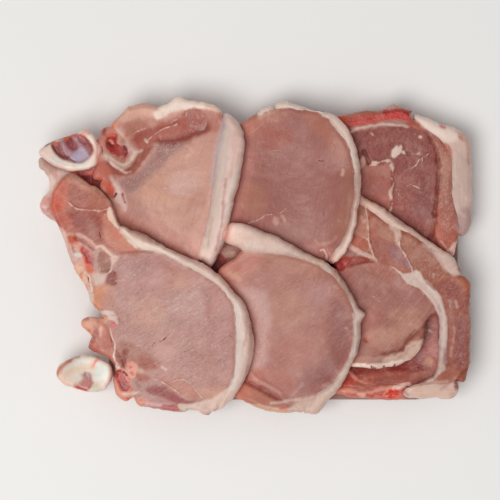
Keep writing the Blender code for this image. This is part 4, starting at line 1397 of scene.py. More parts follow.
    spine: tuple[Patch, ...] = (
        area((222, 166, 150), (-137, 18), (-129, 16), (-122, 15.5), (-116, 12), (-112, 8.5), (-109, 5), (-110, -2), (-112, -10), (-113, -20), (-115, -27), (-121, -22), (-126, -15), (-131, -8), (-134, 0), (-135, 8), soft=2),
        line((232, 196, 188), 3.4, (-136.5, 18), (-134.5, 14.5), (-132.5, 9), (-132.8, 3), soft=2, strength=0.8, relief=0.3),
        area((206, 96, 64), (-131, 13.5), (-126.5, 15), (-124, 11.5), (-127, 8.5), (-130.5, 9), soft=2.5, strength=0.95),
        area((150, 50, 42), (-127, 13), (-121, 12.6), (-117, 10), (-113.5, 6.5), (-112, 4), (-114, 4), (-118, 7), (-122, 9.5), (-125.5, 11), soft=2.4, strength=0.9, relief=-0.5, marrow=0.3, wet=0.3),
        line((214, 172, 162), 1.6, (-123, 14.5), (-119, 12.5), (-116, 9.5), (-114, 8), soft=1.5, strength=0.6),
        area((230, 122, 94), (-126.5, 9.5), (-123, 6.5), (-121, 1), (-119, -7), (-117, -12), (-112, -12), (-114, -7), (-116, -5), (-118, -2), (-121, 4), (-124, 9), soft=2),
        area((188, 40, 28), (-122, 7), (-118.6, 6), (-116, 1.5), (-113.4, -2), (-114, -6), (-117, -5), (-119.4, 0), (-121.5, 3), soft=3, relief=-0.6, marrow=0.5, wet=0.4),
        area((150, 24, 18), (-120, 4), (-118, 3), (-115.5, -2), (-117, -3), (-119, 0.5), soft=2.2, strength=0.9),
        area((176, 90, 92), (-116, 4), (-113, 0), (-111.5, -5), (-113.5, -5), (-114.5, -1), soft=2, strength=0.8),
        area((214, 178, 172), (-130.5, 4.5), (-126.5, 3.5), (-124, 0), (-124, -4), (-128, -4), (-131, 0), soft=2, strength=0.85, relief=0.3),
        line((228, 218, 208), 2.4, (-125, 1.5), (-122.6, 0.5), soft=1.4, relief=0.3),
        line((176, 110, 104), 1, (-128, 7), (-126.5, 3), soft=1, strength=0.7, relief=-0.3),
        area((236, 188, 162), (-128, -7), (-122, -7), (-119, -11), (-117.5, -17), (-120, -21), (-124.5, -15.5), (-128, -10.5), soft=2),
        area((220, 140, 116), (-122.5, -12), (-120, -11.5), (-121, -16), (-123, -15), soft=1.5, strength=0.8),
        line((236, 206, 194), 1.8, (-119, -11.5), (-116.5, -14), (-115.5, -18), (-114, -24), soft=1.2, strength=0.8, relief=0.3),
        slit(1.2, (-117.2, -13.5), (-116.4, -18), (-115.4, -24), strength=0.6, relief=-0.4),
        area((192, 158, 148), (-112.5, 5), (-109, 4), (-108.5, -4), (-109, -12), (-112, -12), (-113, -6), soft=2.5, strength=0.8),
        area((160, 98, 81), (-109.5, 2), (-106, 2.8), (-103, 1.5), (-101, -2), (-100.2, -7), (-102, -11), (-106, -12), (-109, -11.5), (-110, -5), soft=2),
        line((138, 92, 76), 2.5, (-106, -5), (-104.5, -10), soft=2.5, strength=0.6),
        line((232, 196, 181), 2.4, (-111, 6), (-108, 6.8), (-105, 4.8), (-102.5, 2.2), (-100, 0.2), (-97.5, -0.8), soft=1.4, relief=0.4),
        area((234, 200, 185), (-101.5, 0.5), (-95, -0.5), (-97, -3.8), (-99, -6.5), (-100.5, -5), soft=2, strength=0.85, relief=0.3),
        vein(1.8, (-100.2, -5), (-100.6, -9), (-102.4, -11.8), (-106, -13.2), strength=0.95),
        vein(1.2, (-108.6, -8), (-109.4, -12.5), strength=0.8),
        area((218, 190, 177), (-113.5, -12), (-106, -12.6), (-103, -13.5), (-106, -18), (-109, -21), (-113, -21), (-114, -16), soft=3),
    )
    left_rim: tuple[Patch, ...] = (
        area((146, 70, 60), (-102, -10), (-98.6, -11), (-96, -15.5), (-97.5, -18.5), (-101, -20.8), (-104, -19.5), (-104, -15), soft=3, strength=0.95, relief=-0.4),
        line((132, 52, 46), 2, (-100.5, -19.5), (-98.5, -18.8), soft=2, strength=0.9),
        slit(1.2, (-98.4, -11.5), (-97, -14.4), (-94.6, -15.4), strength=0.7, relief=-0.5),
        line((222, 170, 164), 1, (-97.5, -17.2), (-91, -17), soft=1, strength=0.6),
        area((212, 140, 106), (-113.5, -22), (-109, -20.5), (-103, -21), (-105, -27), (-106.5, -34), (-109, -38.5), (-113.5, -38), (-114.5, -30), soft=4),
        area((204, 146, 126), (-104, -21), (-98, -24), (-99, -34), (-106, -37), (-106, -28), soft=5, strength=0.7),
        slit(1.2, (-110.5, -37.5), (-107, -37), strength=0.5),
        line((234, 208, 197), 3, (-115, -23), (-115.5, -32), (-115, -40), (-115, -46), soft=2.2, strength=0.9),
        area((229, 201, 193), (-114, -39), (-108, -38.4), (-103, -38), (-99.5, -38.8), (-97, -42), (-96, -46.5), (-98, -47.5), (-100, -45), (-103, -44.6), (-104, -42), (-107, -41.6), (-110, -41), (-114, -42), soft=1.6, relief=0.4),
        area((230, 178, 150), (-114, -42), (-108, -41), (-104, -44), (-105, -48), (-112, -49), (-115, -46), soft=2.5, strength=0.9),
        line((238, 158, 122), 3, (-107.5, -44), (-105.5, -44.5), soft=2.5, strength=0.7),
        area((188, 130, 118), (-97, -40), (-93, -40), (-92, -46), (-95, -47.5), soft=3, strength=0.7),
        area((204, 80, 78), (-101.8, -47), (-98.6, -46.4), (-97.6, -49), (-99, -51.2), (-101.6, -50.4), soft=1.6, wet=0.5),
        area((198, 126, 110), (-112, -46), (-106, -47), (-103, -52), (-101, -60), (-99, -66), (-100, -72.5), (-105, -73), (-111, -70), (-112, -60), soft=2.5),
        area((184, 100, 86), (-106, -55), (-102.5, -56), (-101, -66), (-104, -68), (-107, -62), soft=3.5, strength=0.8),
        area((240, 180, 158), (-109.6, -50), (-107.4, -49.5), (-107.6, -56), (-109.4, -56), soft=1.6, strength=0.9),
        area((180, 112, 100), (-113.5, -51), (-110.5, -50), (-110.5, -58), (-113, -62), (-116, -61), soft=1.6, strength=0.9),
        line((186, 58, 58), 1.8, (-113.2, -60.4), (-111.4, -60.8), soft=1.2, strength=0.9, wet=0.5),
        area((182, 98, 82), (-119, -63), (-111, -62.5), (-109.5, -67), (-114, -69), (-118, -67), soft=1.8),
        area((226, 164, 140), (-123, -46), (-114, -45.5), (-112.5, -50), (-116, -56), (-121, -53), soft=1.8),
        line((216, 104, 78), 2.4, (-117.5, -53), (-115.8, -52), soft=2, strength=0.8),
        slit(1.2, (-112.5, -46.5), (-112.8, -50), (-113.5, -53), strength=0.7, relief=-0.5),
        vein(1.3, (-102, -50.5), (-101.2, -54), (-100, -58), (-98.6, -61), (-98.6, -66), (-99.5, -70), (-98, -74), (-95.5, -77.5), strength=1.0),
        slit(1.0, (-101.8, -56), (-101, -59), (-99.8, -61.5), strength=0.5),
    )
    tail: tuple[Patch, ...] = (
        area((178, 120, 105), (-98.5, -61.5), (-92, -60.5), (-85, -62), (-79, -66.5), (-73, -69.5), (-67, -74), (-69, -79), (-76, -81), (-82, -79), (-86, -74), (-90, -72), (-92, -79), (-95, -78), (-98, -74), soft=3, strength=0.95),
        area((160, 96, 82), (-98, -69), (-95, -68), (-93, -72), (-95, -76), (-97.5, -74), soft=2, strength=0.8),
        area((146, 72, 62), (-92.5, -66), (-89, -65.5), (-90, -71), (-91.6, -78), (-93.6, -77), (-94, -71), soft=2, strength=0.95, relief=-0.4),
        area((170, 94, 82), (-81, -70), (-76, -71), (-69, -76), (-72, -79.5), (-79, -80), (-81, -75), soft=3, strength=0.9),
        line((204, 150, 138), 1.2, (-70, -75), (-68.5, -77), soft=1.2, strength=0.7),
        area((236, 166, 146), (-90, -74), (-85, -74), (-82, -78), (-83.5, -84.5), (-88, -86), (-90.5, -81), soft=2, relief=0.3),
        line((214, 92, 82), 1.6, (-88.2, -77.6), (-87.2, -78.4), soft=1.2, strength=0.85),
        line((214, 100, 88), 1.8, (-87, -81.6), (-86, -83), soft=1.2, strength=0.8),
        area((216, 180, 160), (-83, -78), (-79, -79), (-79, -82), (-83, -83), soft=2.5, strength=0.8),
        area((230, 214, 206), (-98.5, -76.5), (-95, -78), (-95, -80.5), (-98, -79.5), soft=1.3, relief=0.3),
        area((228, 150, 130), (-101, -79), (-97, -79), (-92, -80), (-88, -86), (-87, -93), (-90, -97), (-96, -96), (-101, -91), (-102, -85), soft=2, strength=0.95),
        area((176, 34, 26), (-98.5, -83), (-95.5, -80.8), (-93, -82), (-91, -87), (-88, -90), (-88.4, -93.4), (-91.4, -95), (-95, -92), (-97.5, -88), soft=2.8, relief=-0.7, marrow=0.5, wet=0.5),
        area((140, 16, 14), (-94, -89), (-91.5, -88.5), (-90, -91.5), (-92.5, -92.5), soft=2, strength=0.85),
        slit(1.5, (-98.6, -82.4), (-97, -81), (-94.8, -80.4), strength=1.0, relief=-0.9),
        slit(1.1, (-92.6, -81), (-91, -82.4), (-89.8, -84), strength=0.9, relief=-0.6),
        slit(1.2, (-89, -86.5), (-87, -86), strength=0.5),
        line((152, 62, 62), 1.4, (-99.4, -78.5), (-100.4, -83), (-101.8, -88), (-100.8, -92.5), soft=1.2, strength=0.9, relief=-0.4),
        area((226, 154, 134), (-100, -92.5), (-94, -96), (-86, -98), (-79, -99.5), (-74, -102), (-80, -106), (-90, -104), (-98, -99), soft=2, strength=0.95),
        line((206, 66, 58), 1.8, (-92.5, -98.6), (-90, -100.2), (-87.6, -100.5), soft=1.2, strength=0.9, wet=0.5),
        line((238, 208, 188), 2.4, (-92, -96.8), (-86, -96.2), (-81, -95), soft=1.6, strength=0.8, relief=0.3),
        area((190, 146, 138), (-86, -86), (-79, -87), (-73, -88), (-66, -89), (-72, -93), (-74, -99), (-80, -97), (-86, -92), soft=3, strength=0.85),
        area((180, 104, 88), (-83, -82.5), (-78, -83), (-74, -85.5), (-78, -88), (-83, -87.5), soft=2.5, strength=0.85),
        area((152, 118, 112), (-85.5, -87), (-83, -88), (-80, -92), (-83, -92), soft=2, strength=0.7),
        area((192, 130, 114), (-67, -86), (-60, -86.5), (-52, -86), (-46, -88.5), (-42, -93), (-40, -99), (-48, -100), (-56, -95.5), (-62, -91.5), soft=3, strength=0.9),
        area((160, 88, 84), (-77, -92.5), (-70, -90.5), (-64, -91.5), (-58, -95), (-50, -99.8), (-42, -101.5), (-48, -104), (-56, -103), (-62, -101), (-68, -98), (-74, -97), soft=3, strength=0.95),
        area((162, 78, 80), (-62, -96), (-56, -98), (-50, -101), (-54, -102.6), (-60, -100.5), soft=2.5, strength=0.8),
        area((194, 150, 144), (-76, -97), (-68, -98.5), (-60, -101.5), (-56, -103.6), (-66, -104), (-75, -102), soft=2.5, strength=0.8),
        vein(1.2, (-71, -86), (-67, -87.6), (-62, -90.4), (-56, -94.2), (-51, -98), (-46, -100.6), strength=0.8, relief=0.2),
        vein(1.1, (-58, -88), (-54.5, -86.8), (-50, -86.6), (-46, -89), (-43, -92.5), (-40, -96.4), (-36, -100), strength=0.85, relief=0.2),
        vein(1.1, (-42, -80), (-41.5, -84), (-42.6, -88.5), strength=0.5),
        line((232, 196, 188), 1.8, (-65.5, -77.5), (-63, -79.5), soft=1.2, strength=0.8),
        line((226, 178, 178), 2.2, (-76, -103.5), (-68, -104.5), (-60, -104), soft=1.8, strength=0.8),
        area((190, 96, 100), (-64, -104.2), (-57, -104.4), (-52.4, -106), (-54, -108.5), (-60, -107.8), (-65, -106.4), soft=1.6, strength=0.95),
    )
    cap: tuple[Patch, ...] = (
        area((206, 166, 150), (-93, 23), (-86, 20), (-78, 15), (-70, 10.5), (-64, 8), (-72, 8.5), (-80, 10.5), (-87, 14), (-91, 18), soft=2, strength=0.9),
        line((190, 142, 130), 1.6, (-88, 20), (-82, 17), (-75, 12.6), soft=2, strength=0.6),
        line((246, 222, 207), 4.2, (-92, 17.6), (-88, 12.4), (-83.5, 8.6), (-78, 6.6), (-70, 5.2), (-62, 3), (-54, -0.6), soft=2.5, strength=0.85, relief=0.4),
        line((230, 200, 184), 3, (-52, -1.6), (-44, -6), (-34, -11.5), (-26, -16), (-19, -21), soft=3, strength=0.6),
        line((214, 170, 160), 1.8, (-58, 4), (-48, -1.6), (-38, -7), (-30, -10.6), (-22, -15.4), (-14, -22), (-8.6, -29), soft=2, strength=0.6),
        line((226, 206, 198), 4.4, (-14, -29), (-12, -40), (-11.5, -52), (-11.5, -66), (-12.6, -80), (-16, -92), soft=3, strength=0.8),
        line((228, 194, 180), 4.6, (-8.5, -32), (-6.4, -42), (-5.4, -54), (-5.6, -66), soft=3, strength=0.75, relief=0.4),
        line((214, 190, 178), 4, (-10, -60), (-9.4, -70), (-10.8, -80), soft=4, strength=0.6),
        line((196, 152, 138), 1.6, (-3.6, -48), (-3.4, -60), (-4.8, -72), (-6.6, -82), soft=1.8, strength=0.6),
        line((176, 144, 134), 1.2, (-6.6, -46), (-6.4, -56), (-7.6, -62), soft=1.6, strength=0.5, relief=-0.4),
        area((230, 200, 186), (-54, -103.5), (-44, -103), (-38, -101), (-28, -98), (-20, -93), (-17, -96), (-26, -106), (-38, -112), (-50, -109.5), soft=1.8, relief=0.4),
        line((204, 190, 180), 3, (-52, -106.5), (-44, -107), soft=2, strength=0.7),
    )
    nubs: tuple[Nub, ...] = (
        Nub((-118, -49), (-3.2, 0.6), 4.0),
        Nub((-116, -65), (-2.0, 0.0), 3.0),
        Nub((-114, -58), (1.6, 0.0), 3.0),
        Nub((-27.5, -100.5), (1.0, -6.0), 6.0),
    )

    def __post_init__(self) -> None:
        """Lays the paint from the eye outwards."""
        self.patches = (*self.eye, *self.flap, *self.spine, *self.left_rim, *self.tail, *self.cap)


@dataclass
class UpperMiddleChop(Slab):
    """The middle chop of the far row: a plain eye under a thin cap."""

    title: str = "upper_middle"
    seed: int = 13
    parts: tuple[Part, ...] = (
        lean("upper_middle_chop_lean", (168, 111, 103), LeanFinish(grain=80, fibre=0.08, blotch=0.1)),
        fat("upper_middle_chop_fat", (240, 212, 200), FatFinish(grain=95), edge_round=4.0, bulge=0.5, seam_tint=(226, 202, 191)),
    )
    patches: tuple[Patch, ...] = (
        area((190, 128, 113), (-11, 92), (0, 100), (10, 103), (24, 103), (18, 95), (4, 88), (-8, 84), soft=8, strength=0.9),
        area((176, 102, 89), (2, 90), (14, 94), (24, 88), (22, 78), (8, 76), soft=10, strength=0.8),
        area((182, 118, 100), (34, 102), (48, 98), (58, 84), (64, 70), (58, 66), (48, 82), (36, 92), soft=8, strength=0.75),
        area((174, 118, 102), (60, 66), (68, 60), (70, 40), (66, 20), (58, 8), (56, 24), (62, 44), soft=7, strength=0.8),
        area((186, 130, 122), (-8, 74), (-2, 70), (-4, 50), (-10, 32), (-16, 28), (-12, 50), soft=5, strength=0.8),
        area((182, 126, 107), (-8, 48), (4, 48), (8, 36), (0, 30), (-10, 34), soft=8, strength=0.75),
        area((166, 124, 116), (10, 22), (26, 22), (36, 12), (28, 8), (14, 14), soft=7, strength=0.7),
        area((178, 118, 108), (34, 8), (48, 8), (56, 2), (50, -6), (42, -3), soft=5, strength=0.7),
        area((204, 160, 148), (13, 28), (16, 27), (16.5, 23), (14, 21), (12, 24), soft=1.6, strength=0.75, relief=0.15),
        line((204, 158, 146), 2.2, (19, 28), (20.5, 25.5), soft=1.4, strength=0.75),
        vein(1.3, (-5, 23), (0, 24.6), (4, 26.4), (7, 28.8), (11.5, 29.2), strength=0.8),
        vein(1.2, (17, 30), (19.5, 31.5), (21.5, 33.5), strength=0.7),
        vein(1.0, (14, 23), (16, 21), (18, 20), strength=0.5),
        vein(1.0, (11, 74), (18, 74), (24.5, 75.4), strength=0.55),
        vein(0.9, (-4, 78.5), (4, 80), (12, 80.4), strength=0.45),
        vein(0.9, (-6, 84), (0, 89), (7, 93.5), strength=0.5),
        vein(1.2, (-5, 68), (-3, 67), strength=0.7),
        line((190, 138, 128), 3, (-6, 60), (6, 57), (18, 55), soft=5, strength=0.35),
        line((150, 94, 86), 3, (26, 70), (38, 64), (50, 56), soft=6, strength=0.4),
        vein(0.9, (0, 66.5), (8, 64.5), (17, 63), strength=0.6),
        vein(0.9, (17, 59.5), (22, 58.5), (28, 57), strength=0.4),
        vein(0.8, (32, 51), (40, 53), (48, 52), strength=0.35),
        line((214, 170, 156), 1.8, (61, 60), (60.2, 57), soft=1.3, strength=0.9, relief=0.2),
        line((190, 142, 132), 2, (58, 25), (58.6, 24), soft=1.8, strength=0.7),
        line((184, 140, 130), 1.4, (38, 25), (40, 23.5), soft=1.6, strength=0.5),
        slit(1.1, (44, 66.8), (46, 66.3), (48, 66.8), strength=0.75),
        slit(1.2, (48, 40), (48.8, 39), strength=0.6),
        vein(1.9, (45.2, 3.8), (47, 4.4), (48.6, 3.2), (49.6, 0.6), (49.6, -2.6), strength=1.0, relief=0.5),
        line((206, 156, 146), 2, (47, 9), (53, 10), (56, 13), soft=2, strength=0.5),
        line((196, 150, 144), 1.6, (42, 11), (44, 8), soft=1.6, strength=0.5),
        area((233, 209, 197), (1, 99.5), (6, 106), (16, 110), (26, 108.5), (36, 105.5), (44, 104.5), (52, 99.5), (49.5, 96.5), (42, 101.6), (34, 102.8), (24, 103.4), (16, 103.8), (8, 101.4), (4, 98.6), soft=1.5, relief=0.3),
        line((206, 170, 152), 2.5, (3, 97), (9, 100), (15, 102), soft=2.5, strength=0.7),
        line((198, 170, 158), 2, (37, 104), (45, 102.6), (50, 99), soft=2, strength=0.5),
        line((186, 156, 148), 2, (66, 78), (70.5, 66), (72, 54), (71, 40), (69, 24), soft=2.5, strength=0.5),
        line((218, 196, 184), 2.4, (55, 94), (62, 84), (67.5, 72), (70, 60), soft=2.5, strength=0.6, relief=0.3),
        line((176, 144, 134), 1.2, (65, 44), (64.6, 32), (62.4, 22), soft=1.6, strength=0.5),
    )


@dataclass
class LowerMiddleChop(Slab):
    """The middle chop of the near row: an eye with a wrinkled margin and a loose flap."""

    title: str = "lower_middle"
    seed: int = 14
    parts: tuple[Part, ...] = (
        lean("lower_middle_chop_lean", (177, 119, 108), LeanFinish(grain=35, fibre=0.12, blotch=0.12)),
        fat("lower_middle_chop_fat", (212, 180, 168), FatFinish(grain=85), edge_round=4.0, bulge=0.5, seam_tint=(204, 182, 172)),
    )
    eye: tuple[Patch, ...] = (
        area((196, 128, 113), (-26, -11), (-17, -2), (-8, 3.5), (6, 2), (2, -8), (-8, -15), (-18, -18), soft=7, strength=0.95),
        area((182, 124, 105), (4, 2), (30, -1), (46, -8), (40, -14), (20, -10), (4, -8), soft=7, strength=0.8),
        area((202, 160, 153), (-14, -20), (-2, -24), (8, -26), (11, -40), (9, -58), (7, -76), (-2, -80), (-3, -66), (0, -50), (-4, -36), soft=7, strength=0.85),
        area((184, 130, 110), (12, -26), (28, -24), (36, -36), (28, -50), (14, -46), soft=11, strength=0.75),
        area((182, 134, 128), (38, -20), (50, -20), (50, -34), (38, -36), soft=8, strength=0.5),
        area((180, 114, 102), (16, -56), (34, -54), (40, -66), (30, -78), (16, -74), soft=10, strength=0.75),
        area((150, 92, 86), (52, -34), (62, -34), (67, -48), (66, -64), (60, -78), (50, -90), (40, -88), (50, -66), soft=10, strength=0.9),
        area((150, 92, 86), (38, -78), (50, -76), (48, -90), (36, -98), (28, -92), soft=8, strength=0.7),
        area((182, 112, 98), (0, -82), (14, -78), (28, -86), (20, -98), (6, -92), soft=8, strength=0.8),
        area((170, 112, 96), (54, -8), (62, -18), (66, -30), (60, -30), (54, -18), soft=6, strength=0.7),
        glints((214, 182, 178), (-6, -24), (6, -26), (9, -44), (8, -74), (0, -76), (2, -50), soft=4, strength=0.6),
        line((204, 160, 140), 4, (-18, -12), (-12, -15), soft=4, strength=0.6),
        vein(1.2, (1, -46), (5, -46.6), (9, -45.4), strength=0.7),
        vein(1.2, (2, -52), (5, -51.6), (8, -52.6), strength=0.7),
        vein(1.2, (1, -57), (4, -55.8), (7, -54.6), strength=0.6),
        vein(1.1, (1, -66), (4, -63.6), (6, -62.6), strength=0.6),
        vein(1.1, (0, -74), (4, -71.6), (7, -71), strength=0.6),
        vein(1.1, (-3, -79), (2, -77.6), (5, -76.6), strength=0.6),
        slit(1.0, (1, -49.6), (4, -49.4), strength=0.4),
        slit(1.0, (1, -60.5), (3.6, -59.6), strength=0.4),
        vein(1.0, (17, -73), (20, -71.6), (22, -71), strength=0.7),
        line((192, 142, 142), 2.2, (25, -99), (29, -94), (33, -90), soft=2.5, strength=0.7),
        line((196, 146, 134), 4, (10, -62), (22, -52), (34, -40), soft=7, strength=0.35),
        line((150, 92, 84), 3, (50, -44), (58, -38), (62, -33), soft=5, strength=0.5),
        vein(0.9, (8, -60), (16, -56), (24, -52), strength=0.5),
        vein(0.9, (30, -40), (42, -42), (50, -40), strength=0.3),
        line((200, 156, 148), 1.2, (51, -25), (52, -22), soft=1.2, strength=0.6),
        line((198, 150, 140), 1.2, (63, -50), (64.5, -50.2), soft=1.2, strength=0.6),
    )
    flap: tuple[Patch, ...] = (
        area((186, 118, 100), (-17, -100), (-9, -90), (-4, -86), (2, -90), (8, -95), (16, -100), (14, -104), (0, -103), (-12, -103), soft=2.5, strength=0.95),
        # Painted shadow: a dark line where the raised edge of the eye stands over the flap.
        line((132, 52, 44), 3, (-8, -82), (-7, -88), (-2, -90.4), (4, -93), (10, -97), (17, -100.4), soft=3, strength=0.85, relief=-1.0),
        line((206, 152, 140), 2, (-3, -82), (2, -87), (10, -91), (18, -96), soft=2.5, strength=0.7, relief=0.5),
        area((220, 178, 152), (-18, -101), (-12, -103.5), (0, -104), (14, -105.5), (24, -107), (24, -110.5), (8, -111), (-6, -108.5), (-14, -105), soft=2, strength=0.95),
        line((206, 150, 120), 3, (-8, -105), (2, -106), (10, -107), soft=3, strength=0.5),
        line((226, 194, 180), 1.8, (11, -103), (17, -102.4), (24, -101), (32, -100), soft=1.8, strength=0.8, relief=0.3),
        line((206, 84, 78), 2, (17, -107.4), (19.4, -106.8), (21.8, -107.4), soft=1.4, strength=0.9, wet=0.5),
        line((130, 60, 56), 1.6, (-18, -101.6), (-16, -101), soft=1.4, strength=0.8),
        area((218, 186, 172), (22, -108.5), (28, -102.5), (36, -99), (44, -97), (50, -94), (52, -98), (46, -104), (44, -110), (38, -113), (32, -111), soft=2, strength=0.95, relief=0.4),
        line((190, 150, 138), 2, (24, -104), (32, -101.5), (40, -100), soft=2.5, strength=0.5, relief=-0.3),
    )
    cap: tuple[Patch, ...] = (
        area((232, 203, 190), (-22, 14), (-18, 26), (-8, 24), (6, 18), (20, 14), (28, 10), (20, 2), (6, 2), (-8, 3), (-16, 8), soft=4, strength=0.7),
        line((218, 186, 178), 2, (-14, 22), (-2, 18.6), (10, 15.6), (20, 12), soft=2.5, strength=0.5),
        line((222, 196, 178), 2, (28, 2), (38, 0), (46, -4), (54, -9), soft=2, strength=0.6),
        line((190, 164, 150), 2.4, (58, -12), (64, -22), (67.5, -32), soft=2.5, strength=0.5),
        line((184, 160, 152), 2.2, (70.5, -46), (71, -56), (69, -66), (66, -76), soft=2.5, strength=0.6),
        line((214, 194, 184), 2.2, (68.6, -40), (69.4, -52), (68, -64), (64, -76), (56, -88), soft=2, strength=0.7, relief=0.3),
        area((212, 186, 176), (70, -37), (74, -38.5), (76.5, -42), (74, -44.5), (71, -44), soft=1.4, strength=0.9, relief=0.5),
        line((216, 192, 178), 3.5, (62, -82), (56, -90), (50, -95), soft=3, strength=0.7),
    )
    nubs: tuple[Nub, ...] = (
        Nub((-16, 12), (-5.0, -2.0), 6.5),
        Nub((-17, 18), (-5.0, 0.5), 7.0),
        Nub((72.5, -41), (3.6, 0.4), 3.2),
        Nub((34, -102.5), (0.5, -6.5), 5.5),
        Nub((50, -101), (-1.5, 1.5), 6.0),
    )

    def __post_init__(self) -> None:
        """Lays the paint from the eye outwards."""
        self.patches = (*self.eye, *self.flap, *self.cap)


